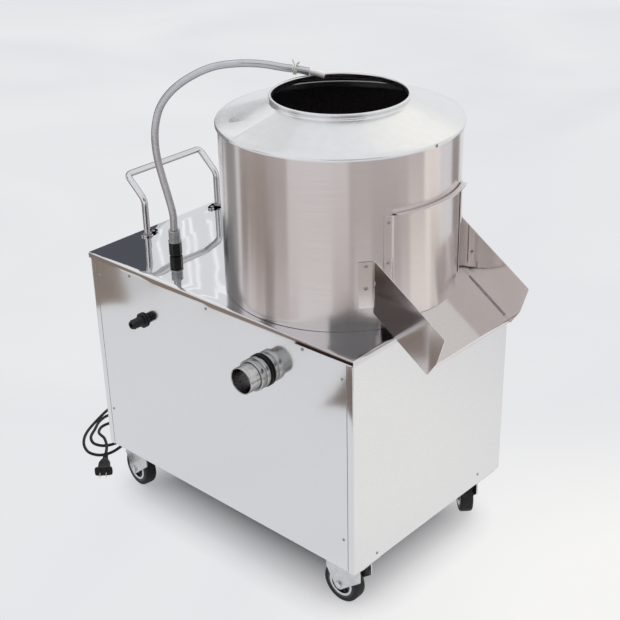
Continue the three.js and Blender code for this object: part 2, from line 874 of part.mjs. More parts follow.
function sprayNozzle() {
  const curve = hoseCurve();
  const start = curve.getPointAt(1);
  const along = curve.getTangentAt(1);
  const from = start.clone().addScaledVector(along, gap);
  const to = from.clone().addScaledVector(along, spoutLength);
  to.z -= spoutDroop;
  const middle = from.clone().addScaledVector(along, spoutLength / 2);
  return tube(new THREE.QuadraticBezierCurve3(from, middle, to), spoutRadius, spoutSteps, tubeSides);
}

function hoseClip() {
  const curve = hoseCurve();
  const at = 1 - tieFromEnd / curve.getLength();
  const place = curve.getPointAt(at);
  const loop = new THREE.TorusGeometry(hoseRadius + tieRadius + tieLoopGap, tieRadius, tieSides, tieSteps);
  loop.lookAt(curve.getTangentAt(at));
  loop.translate(place.x, place.y, place.z);
  return loop;
}

function hoseNut() {
  const nut = post(nutWidth / 2, topZ + gap, topZ + gap + hoseNutHeight, hexSides);
  nut.translate(hoseX, hoseY, 0);
  return nut;
}

function hoseSleeve() {
  const low = topZ + gap + hoseNutHeight + gap;
  const sleeve = turnedSolid([
    [nutWidth / 2, low], [nutWidth / 2, low + collarRingHeight],
    [sleeveRadius, low + collarRingHeight], [sleeveRadius, low + collarRingHeight + sleeveHeight],
  ], roundSides);
  sleeve.translate(hoseX, hoseY, 0);
  return sleeve;
}

function feedLine() {
  const path = bentPath([
    [inletX, -panelSide, inletZ], [inletX, inletStraight - panelSide, inletZ],
    [hoseX, hoseY, inletZ], [hoseX, hoseY, topZ],
  ], feedBend);
  return tube(path, feedLineRadius, feedSteps, tubeSides);
}

function inletFitting() {
  const flangeLow = panelSide + gap;
  const barbLow = flangeLow + inletFlange;
  const barbHigh = barbLow + inletLength;
  const pitch = inletLength / (inletRidges + 1);
  const profile = [[inletFlangeRadius, flangeLow], [inletFlangeRadius, barbLow], [inletRadius, barbLow]];
  for (let ridge = 1; ridge <= inletRidges; ridge += 1) {
    const at = barbLow + pitch * ridge;
    profile.push([inletRadius, at - inletRidge], [inletRadius + inletRidge, at]);
    profile.push([inletRadius, at + inletRidge]);
  }
  profile.push([inletRadius, barbHigh]);
  const fitting = turnedSolid(profile, smallSides);
  const bore = post(inletRadius / 2, barbLow, barbHigh + cutOver, smallSides);
  const bored = cut(fitting, bore);
  bored.rotateX(Math.PI / 2);
  bored.translate(inletX, 0, inletZ);
  return bored;
}

// Drain: a pipe from the pan, clamped to the side panel by a sleeve on a gasket
function alongSide(geometry) {
  geometry.rotateX(Math.PI / 2);
  geometry.translate(drainX, 0, drainZ);
  return geometry;
}

function drainPipe() {
  const end = panelSide + drainReach;
  const pipe = alongSide(ring(drainRadius - drainWall, drainRadius, panRadius / 2, end, roundSides));
  return cut(pipe, post(panRadius + gap, panLow - cutOver, topZ, drumSides));
}

function drainSleeve() {
  const low = panelSide + gap + drainGasket + gap;
  const bore = drainRadius + runningGap;
  return alongSide(ring(bore, drainSleeveRadius, low, low + drainSleeveLength, roundSides));
}

function drainGasketRing() {
  const low = panelSide + gap;
  return alongSide(ring(drainRadius + runningGap, drainGasketRadius, low, low + drainGasket, roundSides));
}

// Handle: a bent rod with a screwed foot under each leg
function pushHandle() {
  const low = topZ + gap + handleFlange / 2;
  const back = handleX - handleLean;
  const points = [
    [handleX, -handleHalfSpan, low], [handleX, -handleHalfSpan, topZ + handleKnee],
    [back, -handleHalfSpan, topZ + handleTop], [back, handleHalfSpan, topZ + handleTop],
    [handleX, handleHalfSpan, topZ + handleKnee], [handleX, handleHalfSpan, low],
  ];
  const rod = tube(bentPath(points, handleBend), handleRodRadius, handleSteps, tubeSides);
  const feet = [-1, 1].flatMap((side) => {
    const foot = post(handleFlangeRadius, topZ + gap, topZ + gap + handleFlange, roundSides);
    foot.translate(handleX, side * handleHalfSpan, 0);
    const earEnd = side * (handleHalfSpan - handleEar);
    const tip = post(handleFlangeRadius / 2, topZ + gap, topZ + gap + handleFlange, roundSides);
    tip.translate(handleX, earEnd, 0);
    const [y0, y1] = [earEnd, side * handleHalfSpan].sort((a, b) => a - b);
    const reach = handleFlangeRadius / 2;
    const ear = block(handleX - reach, handleX + reach, y0, y1, topZ + gap, topZ + gap + handleFlange);
    return [foot, tip, ear];
  });
  return join(rod, ...feet);
}

// Casters, each built about its own swivel axis with the wheel trailing to +X
function casterPlatePiece() {
  const high = casterHeight - gap;
  const plate = block(
    -casterPlateLength / 2, casterPlateLength / 2, -casterPlateWidth / 2, casterPlateWidth / 2,
    high - casterPlate, high,
  );
  return join(plate, post(raceRadius, high - casterPlate - raceHeight, high - casterPlate / 2, roundSides));
}

const forkInner = wheelWidth / 2 + wheelSideGap;

function casterFork() {
  const outer = forkInner + forkSheet;
  const crown = block(-forkHalfLength, forkHalfLength, -outer, outer, forkTop - forkSheet, forkTop);
  const toe = [];
  for (let step = 0; step <= toeSteps; step += 1) {
    const angle = Math.PI * (toeFromShare + toeSpanShare * step / toeSteps);
    const [across, up] = [forkToeRadius * Math.cos(angle), forkToeRadius * Math.sin(angle)];
    toe.push([casterTrail + across, wheelRadius + up]);
  }
  const cheek = [
    ...toe, [forkHalfLength, forkTop - forkCheekDrop], [forkHalfLength, forkTop],
    [-forkHalfLength, forkTop], [-forkHalfLength, forkTop - forkCheekDrop],
  ];
  const axle = post(axleRadius, -outer - axleHead / 2, outer + axleHead / 2, smallSides);
  const nearHead = post(axleHeadRadius, outer - forkSheet / 2, outer + axleHead, hexSides);
  const farHead = post(axleHeadRadius, -outer - axleHead, -outer + forkSheet / 2, hexSides);
  const pin = join(axle, nearHead, farHead);
  pin.rotateX(Math.PI / 2);
  pin.translate(casterTrail, 0, wheelRadius);
  return join(crown, wall(cheek, forkInner, outer), wall(cheek, -outer, -forkInner), pin);
}

function casterWheel() {
  const half = wheelWidth / 2;
  const flat = wheelRadius / Math.cos(Math.PI / wideSides);
  const bore = axleRadius + runningGap;
  const hub = half + hubOut;
  const treadInner = flat - treadDepth;
  const web = half - dishDepth;
  const edge = treadDepth / 4;
  const wheel = turned([
    [bore, -hub], [hubRadius, -hub], [hubRadius, -web], [treadInner, -web], [treadInner, -half],
    [flat - edge, -half], [flat, -half + edge], [flat, half - edge], [flat - edge, half],
    [treadInner, half], [treadInner, web], [hubRadius, web], [hubRadius, hub], [bore, hub],
  ], wideSides);
  wheel.rotateZ(Math.PI / wideSides);
  wheel.rotateX(Math.PI / 2);
  wheel.translate(casterTrail, 0, wheelRadius);
  return wheel;
}

function addCaster({ name, end, side, turn }) {
  const corner = new THREE.Group();
  const cornerX = end > 0 ? frontReach - casterInset : rearX + casterInset;
  corner.position.set(cornerX, side * (halfWidth - casterSideInset), 0);
  const swivel = new THREE.Group();
  swivel.rotation.z = THREE.MathUtils.degToRad(turn);
  corner.add(swivel);
  model.add(corner);
  add(`caster_${name}_plate`, casterPlatePiece(), 'zinc', corner);
  add(`caster_${name}_fork`, casterFork(), 'zinc', swivel);
  add(`caster_${name}_wheel`, casterWheel(), 'rubber', swivel);
}

// Switch with a start and a stop button
function buttonZ(place) {
  return topZ + switchZ + place * buttonSpread;
}

function switchBox() {
  const faceX = panelRear - gap;
  const frontX = faceX - bezel;
  const frame = block(
    frontX, faceX, switchY - switchWidth / 2 - bezelBorder, switchY + switchWidth / 2 + bezelBorder,
    topZ + switchZ - switchHeight / 2 - bezelBorder, topZ + switchZ + switchHeight / 2 + bezelBorder,
  );
  const box = block(
    frontX + bezel / 2, frontX + switchDepth, switchY - switchWidth / 2, switchY + switchWidth / 2,
    topZ + switchZ - switchHeight / 2, topZ + switchZ + switchHeight / 2,
  );
  const boreDepth = buttonIn + buttonTravel + buttonGap;
  const bores = [1, -1].map((place) => {
    const bore = post(buttonRadius + buttonGap, -cutOver, boreDepth, roundSides);
    bore.rotateY(Math.PI / 2);
    bore.translate(frontX, switchY, buttonZ(place));
    return bore;
  });
  return cut(join(frame, box), ...bores);
}

function button(place) {
  const frontX = panelRear - gap - bezel;
  const edge = buttonOut / 4;
  const cap = turnedSolid([
    [buttonRadius, -buttonIn], [buttonRadius, buttonOut - edge], [buttonRadius - edge, buttonOut],
  ], roundSides);
  cap.rotateY(-Math.PI / 2);
  cap.translate(frontX, switchY, buttonZ(place));
  return cap;
}

// Mains lead
function cordCurve() {
  const tip = new THREE.Vector3(panelRear - glandNut - reliefLength - cordEndGap, glandY, glandZ);
  const foot = new THREE.Vector3(rearX, 0, cordRadius);
  const hanging = cordHang.map((point) => new THREE.Vector3(...point).add(tip));
  const lying = cordLay.map((point) => new THREE.Vector3(...point).add(foot));
  return new THREE.CatmullRomCurve3([...hanging, ...lying]);
}

function cordGland() {
  const gland = turnedSolid([
    [reliefRadius, -sheet - glandNut / 2], [reliefRadius, gap], [glandNutRadius, gap],
    [glandNutRadius, glandNut], [reliefRadius, glandNut], [reliefTip, glandNut + reliefLength],
  ], smallSides);
  gland.rotateY(-Math.PI / 2);
  gland.translate(panelRear, glandY, glandZ);
  return gland;
}

// The plug is drawn along its own axis from the cord's end and then laid in line
function onPlug(geometry) {
  const curve = cordCurve();
  const tail = curve.getPointAt(1);
  const along = curve.getTangentAt(1);
  geometry.rotateZ(Math.atan2(along.y, along.x));
  geometry.translate(tail.x, tail.y, plugFlangeHeight / 2);
  return geometry;
}

function plugShape() {
  const bodyStart = gap + plugTail;
  const bodyEnd = bodyStart + plugBody;
  const end = bodyEnd + plugFlange;
  const tail = turnedSolid([
    [plugTailRadius, gap], [plugNeckWidth / 2, bodyStart + plugFlange],
  ], smallSides);
  tail.rotateY(Math.PI / 2);
  const halfThick = plugThickness / 2;
  const gripEnd = bodyEnd + plugFlange / 2;
  const gripMiddle = bodyStart + plugBody / 2;
  const grip = slab([
    [bodyStart, -plugNeckWidth / 2], [gripMiddle, plugShoulder - plugWidth / 2], [gripEnd, -plugWidth / 2],
    [gripEnd, plugWidth / 2], [gripMiddle, plugWidth / 2 - plugShoulder], [bodyStart, plugNeckWidth / 2],
  ], -halfThick, halfThick);
  const [flangeY, flangeZ] = [plugFlangeWidth / 2, plugFlangeHeight / 2];
  const flange = block(bodyEnd, end, -flangeY, flangeY, -flangeZ, flangeZ);
  const slots = [-1, 1].map((side) => pinBlock(side, end - pinSocket, end + cutOver, gap));
  return cut(join(tail, grip, flange), ...slots);
}

function pinBlock(side, x0, x1, ease) {
  const y = side * pinSpacing / 2;
  return block(
    x0 - ease, x1, y - pinThickness / 2 - ease, y + pinThickness / 2 + ease,
    -pinWidth / 2 - ease, pinWidth / 2 + ease,
  );
}

function plugPin(side) {
  const end = gap + plugTail + plugBody + plugFlange;
  return pinBlock(side, end - pinSocket, end + pinLength, 0);
}

// Assembly
add('top_plate', topPlate(), 'mirrorSteel');
add('rear_end_panel', rearEndPanel(), 'mirrorSteel');
add('front_end_panel', endPanel(panelFront, -1), 'mirrorSteel');
add('near_side_panel', nearSidePanel(), 'mirrorSteel');
add('far_side_panel', sidePanel(1), 'mirrorSteel');
add('base_frame', baseFrame(), 'dullSteel');

add('drum_shell', drumShell(), 'brushedSteel');
add('abrasive_liner', abrasiveLiner(), 'grit');
add('lid', lid(), 'brushedSteel');
add('gate_door', gateDoor(), 'brushedSteel');
add('gate_guide_near', gateGuide(-1), 'brushedSteel');
add('gate_guide_far', gateGuide(1), 'brushedSteel');
add('chute_tray', chuteTray(), 'mirrorSteel');
add('chute_guard_near', chuteGuard(-1), 'mirrorSteel');
add('chute_guard_far', chuteGuard(1), 'mirrorSteel');

add('abrasive_disc', abrasiveDisc(), 'grit');
add('disc_nut', discNut(), 'brushedSteel');
add('spindle', post(spindleRadius, spindleLow, discTop, roundSides), 'dullSteel');
add('driven_pulley', pulley(drivenRadius, spindleRadius + gap), 'castIron');
add('waste_pan', wastePan(), 'dullSteel');
add('bearing_housing', bearingHousing(), 'castIron');
const upperSeat = housingTop - gap - bearingHeight;
const lowerSeat = housingLow + gap;
add('upper_bearing', bearing(upperSeat), 'dullSteel');
add('lower_bearing', bearing(lowerSeat), 'dullSteel');
add('shaft_seal', shaftSeal(), 'rubber');

add('motor_shelf', motorShelf(), 'dullSteel');
add('motor_body', motorBody(), 'motorPaint');
const motorShaft = post(motorShaftRadius, spindleLow, shelfTop + gap + motorBoreDepth - gap, roundSides);
motorShaft.translate(motorX, 0, 0);
add('motor_shaft', motorShaft, 'dullSteel');
const motorPulley = pulley(motorPulleyRadius, motorShaftRadius + gap);
motorPulley.translate(motorX, 0, 0);
add('motor_pulley', motorPulley, 'castIron');
add('drive_belt', driveBelt(), 'rubber');

add('water_hose', waterHose(), 'hose');
add('spray_nozzle', sprayNozzle(), 'white');
add('hose_clip', hoseClip(), 'white');
add('hose_nut', hoseNut(), 'rubber');
add('hose_sleeve', hoseSleeve(), 'dullSteel');
add('water_feed_line', feedLine(), 'hose');
add('inlet_fitting', inletFitting(), 'rubber');
add('drain_pipe', drainPipe(), 'dullSteel');
add('drain_sleeve', drainSleeve(), 'dullSteel');
add('drain_gasket', drainGasketRing(), 'rubber');
add('push_handle', pushHandle(), 'mirrorSteel');

for (const caster of casterTurns) {
  addCaster(caster);
}

add('switch_box', switchBox(), 'rubber');
add('start_button', button(1), 'green');
add('stop_button', button(-1), 'red');

const cordPieces = [
  add('cord_gland', cordGland(), 'rubber'),
  add('power_cord', tube(cordCurve(), cordRadius, cordSteps, cordSides), 'rubber'),
  add('plug_body', onPlug(plugShape()), 'rubber'),
  add('plug_pin_near', onPlug(plugPin(-1)), 'brass'),
  add('plug_pin_far', onPlug(plugPin(1)), 'brass'),
];

// The origin is on the floor, under the middle of the object without its mains lead
model.updateMatrixWorld(true);
const extent = new THREE.Box3();
model.traverse((piece) => {
  if (piece.isMesh && !cordPieces.includes(piece)) {
    extent.expandByObject(piece, true);
  }
});
const centre = extent.getCenter(new THREE.Vector3());
model.position.set(-centre.x, -centre.y, -extent.min.z);
model.updateMatrixWorld(true);
console.log('moved by', model.position.toArray().map((value) => value.toFixed(3)).join(', '));
console.log('cord length', cordCurve().getLength().toFixed(1));

export default model;
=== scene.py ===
# %% [markdown]
# # An electric potato peeler
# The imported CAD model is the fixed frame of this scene. It says where every part sits and
# what moves, and it is never changed here. Each cell below dresses one piece of it with a
# finer mesh and a finish of its own. Keeping shape and look apart means that a mistake in
# a mesh never moves a wheel or a hole.

# %% Load the frame
import math
import random

import bmesh
import bpy
from mathutils import Matrix, Vector


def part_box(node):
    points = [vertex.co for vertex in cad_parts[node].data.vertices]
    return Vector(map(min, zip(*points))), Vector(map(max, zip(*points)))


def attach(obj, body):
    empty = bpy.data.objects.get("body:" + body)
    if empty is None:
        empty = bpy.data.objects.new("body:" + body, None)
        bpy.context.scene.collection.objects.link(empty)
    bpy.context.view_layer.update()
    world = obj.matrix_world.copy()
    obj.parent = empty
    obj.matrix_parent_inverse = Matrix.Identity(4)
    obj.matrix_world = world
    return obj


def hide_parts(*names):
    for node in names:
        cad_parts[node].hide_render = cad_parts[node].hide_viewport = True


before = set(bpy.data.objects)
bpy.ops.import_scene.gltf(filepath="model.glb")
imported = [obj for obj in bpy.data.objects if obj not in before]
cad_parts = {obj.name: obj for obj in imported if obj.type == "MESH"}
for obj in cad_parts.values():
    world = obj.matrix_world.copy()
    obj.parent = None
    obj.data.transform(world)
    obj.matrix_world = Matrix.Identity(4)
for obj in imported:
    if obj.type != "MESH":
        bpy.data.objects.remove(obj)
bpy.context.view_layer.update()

# %% [markdown]
# ## One set of units
# The maker's drawing is in millimetres from the drum's axis, with heights from the floor.
# Blender works in metres, so a single function turns one into the other. All the sizes
# that several pieces share are written here once, under the names on the drawing.

# %% Units and shared sizes
MM = 0.001
spindle_low, spindle_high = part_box("spindle")
axis = (spindle_low + spindle_high) / 2


def spot(x, y, z):
    """A place on the drawing, in millimetres, as a place in the frame."""
    return Vector((axis.x + x * MM, axis.y + y * MM, z * MM))


SHEET = 1.5
DECK = 510.0
REAR, FRONT, SIDE = -427.0, 207.0, 212.0
PANEL_REAR, PANEL_FRONT, PANEL_SIDE = -425.2, 205.2, 210.2
PANEL_LOW, PANEL_TOP = 100.0, 508.2
FOLD = 13.0
DRUM = 200.0
DRUM_LOW, DRUM_TOP = 510.3, 798.8
OPEN_HALF, OPEN_TOP = 78.0, 690.0
TRAY_START, TRAY_END = 164.3, 271.5
TRAY_HIGH, TRAY_LOW = 545.0, 473.5
GUARD_Y = 114.0
WHEEL = 37.5
SIDES = (("near", -1), ("far", 1))


def tray_height(x):
    """The tray's upper face falls in a straight line from the drum to its front edge."""
    return TRAY_HIGH + (TRAY_LOW - TRAY_HIGH) * (x - TRAY_START) / (TRAY_END - TRAY_START)


print("drum axis at", [round(value, 4) for value in axis])

# %% [markdown]
# ## The camera
# The photograph was taken from above the front near corner with a short telephoto lens.
# A long lens keeps the cabinet's edges nearly parallel. The matrix below is built from the
# direction of view and a small roll, which is easier to correct than three Euler angles.

# %% Camera
def aim_camera(place, side, height, roll, lens):
    """A camera that looks down from a bearing and a height above the horizon."""
    side, height, roll = (math.radians(value) for value in (side, height, roll))
    back = Vector((
        math.sin(side) * math.cos(height), -math.cos(side) * math.cos(height), math.sin(height),
    ))
    right = (-back).cross(Vector((0, 0, 1))).normalized()
    up = right.cross(-back)
    turned_right = right * math.cos(roll) + up * math.sin(roll)
    turned_up = -right * math.sin(roll) + up * math.cos(roll)
    data = bpy.data.cameras.new("photo_camera")
    data.lens, data.sensor_width = lens, 36
    camera = bpy.data.objects.new("photo_camera", data)
    bpy.context.scene.collection.objects.link(camera)
    camera.matrix_world = Matrix((
        (*turned_right, 0), (*turned_up, 0), (*back, 0), (0, 0, 0, 1),
    )).transposed()
    camera.location = place
    bpy.context.scene.camera = camera
    return camera


camera = aim_camera(spot(1269.2, -1450.9, 1432.9), side=42.84, height=27.05, roll=-1.33, lens=71.9)
print("camera at", [round(value, 3) for value in camera.location])

# %% [markdown]
# ## Shapes as lists
# Every piece starts as a list of points and a list of faces, still in millimetres. Sheet
# metal, turned parts, bent rods and cut plates each have one function that writes such a
# list. A list can be moved, turned and joined to others before Blender ever sees it, so a
# screw is drawn once and used forty times.

# %% Basic shapes
def around(radius, angle, height=0.0):
    """A place at a distance and an angle about the Z axis."""
    return (radius * math.cos(angle), radius * math.sin(angle), height)


def band(low, high, count):
    """The faces between two rings of points, from the number of each ring's first point."""
    faces = []
    for index in range(count):
        after = (index + 1) % count
        faces.append((low + index, low + after, high + after, high + index))
    return faces


def turned(profile, sides=96, closed=False):
    """Turns (radius, height) points about the Z axis, as on a lathe."""
    points, faces, rings = [], [], []
    for radius, height in profile:
        count = 1 if radius == 0 else sides
        rings.append([len(points) + index for index in range(count)])
        points += [around(radius, 2 * math.pi * index / sides, height) for index in range(count)]
    follow = rings[1:] + rings[:1] if closed else rings[1:]
    for low, high in zip(rings, follow):
        for index in range(sides):
            after = (index + 1) % sides
            corners = [
                low[index % len(low)], low[after % len(low)],
                high[after % len(high)], high[index % len(high)],
            ]
            faces.append(tuple(dict.fromkeys(corners)))
    return points, [face for face in faces if len(face) > 2]


def shell(outer, inner, keep=None, loop=False):
    """A sheet with two faces: matching grids of points, walled along every free edge."""
    rows, columns = len(outer), len(outer[0])
    points = [point for row in outer for point in row] + [point for row in inner for point in row]
    back = rows * columns
    spans = columns if loop else columns - 1

    def here(row, column):
        inside = 0 <= row < rows - 1 and (loop or 0 <= column < spans)
        return inside and (keep is None or keep(row, column % spans))

    def at(row, column):
        return row * columns + column % columns

    faces = []
    for row in range(rows - 1):
        for column in range(spans):
            if not here(row, column):
                continue
            a, b = at(row, column), at(row, column + 1)
            c, d = at(row + 1, column + 1), at(row + 1, column)
            faces += [(a, b, c, d), (back + d, back + c, back + b, back + a)]
            for near, far, other in (
                (a, b, here(row - 1, column)), (b, c, here(row, column + 1)),
                (c, d, here(row + 1, column)), (d, a, here(row, column - 1)),
            ):
                if not other:
                    faces.append((far, near, back + near, back + far))
    return points, faces


def plate(outline, low, high):
    """A flat plate cut to an outline in X and Y."""
    count = len(outline)
    points = [(x, y, low) for x, y in outline] + [(x, y, high) for x, y in outline]
    faces = [tuple(reversed(range(count))), tuple(range(count, 2 * count))]
    return points, faces + band(0, count, count)


def holed(outline, hole, low, high):
    """A plate with a hole. Outline and hole have the same number of points."""
    count = len(outline)
    rings = [(outline, low), (outline, high), (hole, high), (hole, low)]
    points = [(x, y, height) for ring, height in rings for x, y in ring]
    faces = []
    for ring in range(len(rings)):
        faces += band(ring * count, (ring + 1) % len(rings) * count, count)
    return points, faces


def circle(radius, count, x=0.0, y=0.0, start=0.0):
    """Points on a circle, in order."""
    angles = [start + 2 * math.pi * index / count for index in range(count)]
    return [(x + radius * math.cos(angle), y + radius * math.sin(angle)) for angle in angles]


def corner_curve(start, corner, end, steps):
    """Places on a short curve that cuts a corner."""
    shares = [step / steps for step in range(steps + 1)]
    return [start.lerp(corner, share).lerp(corner.lerp(end, share), share) for share in shares]


def rounded(outline, reach, steps=4):
    """The same outline with each corner replaced by a short curve."""
    result = []
    count = len(outline)
    for index, corner in enumerate(outline):
        corner = Vector(corner)
        before, after = Vector(outline[index - 1]), Vector(outline[(index + 1) % count])
        start = corner + (before - corner).normalized() * min(reach, (before - corner).length / 2.1)
        end = corner + (after - corner).normalized() * min(reach, (after - corner).length / 2.1)
        result += [tuple(place) for place in corner_curve(start, corner, end, steps)]
    return result


def brick(x0, x1, y0, y1, z0, z1):
    """A block, usually softened by a bevel when it becomes a piece."""
    return plate([(x0, y0), (x1, y0), (x1, y1), (x0, y1)], z0, z1)


def join(*shapes):
    """Several lists as one."""
    points, faces = [], []
    for more_points, more_faces in shapes:
        start = len(points)
        points += list(more_points)
        faces += [tuple(start + index for index in face) for face in more_faces]
    return points, faces


def moved(shape, matrix):
    """A list of points after a move or a turn."""
    points, faces = shape
    return [tuple(matrix @ Vector(point)) for point in points], faces


def aimed(shape, place, direction, spin=0.0):
    """A shape drawn on the Z axis, set down at a place with its Z axis along a direction."""
    turn = Vector((0, 0, 1)).rotation_difference(Vector(direction).normalized())
    matrix = Matrix.Translation(Vector(place)) @ turn.to_matrix().to_4x4()
    return moved(shape, matrix @ Matrix.Rotation(spin, 4, "Z"))


print("a washer of 40 points a ring has", len(holed(circle(2, 40), circle(1, 40), 0, 1)[1]), "faces")

# %% [markdown]
# ## Paths
# A hose, a bent rod and a mains lead are all a circle carried along a path. Carrying the
# circle without letting it spin about the path keeps the tube free of twists. The path
# itself is either a run of lines with rounded corners, as a rod bender makes it, or a
# smooth curve through points, as a hose lies.

# %% Tubes along a path
def bent_path(corners, reach, steps=10):
    """A run of straight lines with each inner corner bent."""
    corners = [Vector(corner) for corner in corners]
    path = [corners[0]]
    for before, corner, after in zip(corners, corners[1:], corners[2:]):
        start = corner + (before - corner).normalized() * reach
        end = corner + (after - corner).normalized() * reach
        path += corner_curve(start, corner, end, steps)
    return path + [corners[-1]]


def smooth_path(points, steps=8):
    """A curve through every point, with its speed set by the distances between them."""
    points = [Vector(point) for point in points]
    ends = [2 * points[0] - points[1], *points, 2 * points[-1] - points[-2]]
    path = []
    for a, b, c, d in zip(ends, ends[1:], ends[2:], ends[3:]):
        t1 = (b - a).length ** 0.5
        t2 = t1 + (c - b).length ** 0.5
        t3 = t2 + (d - c).length ** 0.5
        for step in range(steps):
            t = t1 + (t2 - t1) * step / steps
            ab = a.lerp(b, t / t1)
            bc = b.lerp(c, (t - t1) / (t2 - t1))
            cd = c.lerp(d, (t - t2) / (t3 - t2))
            abc, bcd = ab.lerp(bc, t / t2), bc.lerp(cd, (t - t1) / (t3 - t1))
            path.append(abc.lerp(bcd, (t - t1) / (t2 - t1)))
    return path + [points[-1]]


def path_length(path):
    """How long a path is from end to end."""
    return sum((after - before).length for before, after in zip(path, path[1:]))


def tube(path, radii, sides=20, caps=True):
    """A tube, or a bar of changing thickness if radii is a list."""
    path = [Vector(point) for point in path]
    if not isinstance(radii, (list, tuple)):
        radii = [radii] * len(path)
    ahead = [(after - before).normalized() for before, after in zip(path, path[1:])]
    ways = [ahead[0], *[(a + b).normalized() for a, b in zip(ahead, ahead[1:])], ahead[-1]]
    across = ways[0].orthogonal().normalized()
    points, faces = [], []
    for index, (place, way, radius) in enumerate(zip(path, ways, radii)):
        if index:
            across = ways[index - 1].rotation_difference(way) @ across
        across = (across - way * across.dot(way)).normalized()
        upward = way.cross(across)
        for side in range(sides):
            angle = 2 * math.pi * side / sides
            points.append(tuple(place + radius * (across * math.cos(angle) + upward * math.sin(angle))))
    for ring in range(len(path) - 1):
        faces += band(ring * sides, (ring + 1) * sides, sides)
    if caps:
        faces += [tuple(reversed(range(sides))), tuple(range(len(points) - sides, len(points)))]
    return points, faces


sample_rod = bent_path([(0, 0, 0), (0, 0, 100), (100, 0, 100)], 20)
print("a rod with two legs of 100 mm and a bend is", round(path_length(sample_rod), 1), "mm long")

# %% [markdown]
# ## Shared effects
# Grain, smudges, edge wear, dust and grit show on many finishes, so each is a small shader
# node group with named sockets. A group puts out a value or a mask and nothing else. The
# shader that uses it stays in the material, where it is easy to see what a finish is made
# of and where the export can read it.

# %% Node group helper
def effect(name, inputs, outputs):
    """A new shader node group with its input and output nodes."""
    tree = bpy.data.node_groups.new(name, "ShaderNodeTree")
    for label, kind, value in inputs:
        tree.interface.new_socket(label, in_out="INPUT", socket_type=kind).default_value = value
    for label, kind in outputs:
        tree.interface.new_socket(label, in_out="OUTPUT", socket_type=kind)
    return tree, tree.nodes.new("NodeGroupInput"), tree.nodes.new("NodeGroupOutput")


def node(tree, kind, links=(), **settings):
    """A node with its settings, and its inputs linked or set by name."""
    made = tree.nodes.new(kind)
    for name, value in settings.items():
        setattr(made, name, value)
    for name, source in dict(links).items():
        socket = made.inputs[name]
        if isinstance(source, bpy.types.NodeSocket):
            tree.links.new(source, socket)
        else:
            socket.default_value = source
    return made


FLOAT, VECTOR = "NodeSocketFloat", "NodeSocketVector"


def ramp_range(tree, value, low, high, to_low=0.0, to_high=1.0):
    """Maps a value from one range to another, held at both ends."""
    made = node(tree, "ShaderNodeMapRange", {"Value": value, "From Min": low, "From Max": high})
    for name, end in (("To Min", to_low), ("To Max", to_high)):
        if isinstance(end, bpy.types.NodeSocket):
            tree.links.new(end, made.inputs[name])
        else:
            made.inputs[name].default_value = end
    return made.outputs["Result"]


def object_place(tree):
    """Where a point lies on its own piece."""
    return node(tree, "ShaderNodeTexCoord").outputs["Object"]


def noise(tree, scale, detail, roughness=0.5, distortion=0.0, place=None):
    """Cloudy noise, from zero to one."""
    return node(tree, "ShaderNodeTexNoise", {
        "Vector": place or object_place(tree), "Scale": scale, "Detail": detail,
        "Roughness": roughness, "Distortion": distortion,
    }).outputs["Fac"]


def product(tree, first, second):
    """Two values multiplied."""
    return node(tree, "ShaderNodeMath", {0: first, 1: second}, operation="MULTIPLY").outputs[0]


def vectors(tree, operation, *values):
    """A step of vector arithmetic, with its values in order."""
    return node(tree, "ShaderNodeVectorMath", dict(enumerate(values)), operation=operation)


# %% Grain, smudges, wear, dust and grit
def grain_effect():
    """Fine lines from a belt or a brush: noise that is long one way and short the other."""
    tree, into, out = effect(
        "brushed grain", [("Stretch", VECTOR, (30, 30, 900)), ("Detail", FLOAT, 2.0)], [("Lines", FLOAT)],
    )
    scaled = vectors(tree, "MULTIPLY", object_place(tree), into.outputs["Stretch"])
    lines = noise(tree, 1.0, into.outputs["Detail"], roughness=0.6, place=scaled.outputs[0])
    tree.links.new(lines, out.inputs["Lines"])
    return tree


def smudge_effect():
    """Cloudy marks of handling, the size of a hand or a rag."""
    tree, into, out = effect(
        "smudges", [("Size", FLOAT, 9.0), ("Amount", FLOAT, 1.0), ("Detail", FLOAT, 3.0)], [("Mask", FLOAT)],
    )
    cloud = noise(tree, into.outputs["Size"], into.outputs["Detail"], roughness=0.55, distortion=0.3)
    mask = ramp_range(tree, cloud, 0.42, 0.72, 0.0, into.outputs["Amount"])
    tree.links.new(mask, out.inputs["Mask"])
    return tree


def wear_effect():
    """Corners and edges that are rubbed bright, broken up by noise."""
    tree, into, out = effect(
        "edge wear", [("Amount", FLOAT, 0.6), ("Break up", FLOAT, 300.0)], [("Mask", FLOAT)],
    )
    shape = node(tree, "ShaderNodeNewGeometry")
    edge = ramp_range(tree, shape.outputs["Pointiness"], 0.52, 0.62)
    specks = noise(tree, into.outputs["Break up"], 2.0)
    broken = ramp_range(tree, specks, 0.35, 0.6, 0.0, into.outputs["Amount"])
    tree.links.new(product(tree, edge, broken), out.inputs["Mask"])
    return tree


def dust_effect():
    """Dust that settles on faces that look up."""
    tree, into, out = effect(
        "settled dust", [("Amount", FLOAT, 0.3), ("Size", FLOAT, 40.0)], [("Mask", FLOAT)],
    )
    shape = node(tree, "ShaderNodeNewGeometry")
    upward = node(tree, "ShaderNodeSeparateXYZ", {"Vector": shape.outputs["Normal"]}).outputs["Z"]
    flat = ramp_range(tree, upward, 0.2, 1.0)
    patch = noise(tree, into.outputs["Size"], 6.0)
    thick = ramp_range(tree, patch, 0.35, 0.75, 0.0, into.outputs["Amount"])
    tree.links.new(product(tree, flat, thick), out.inputs["Mask"])
    return tree


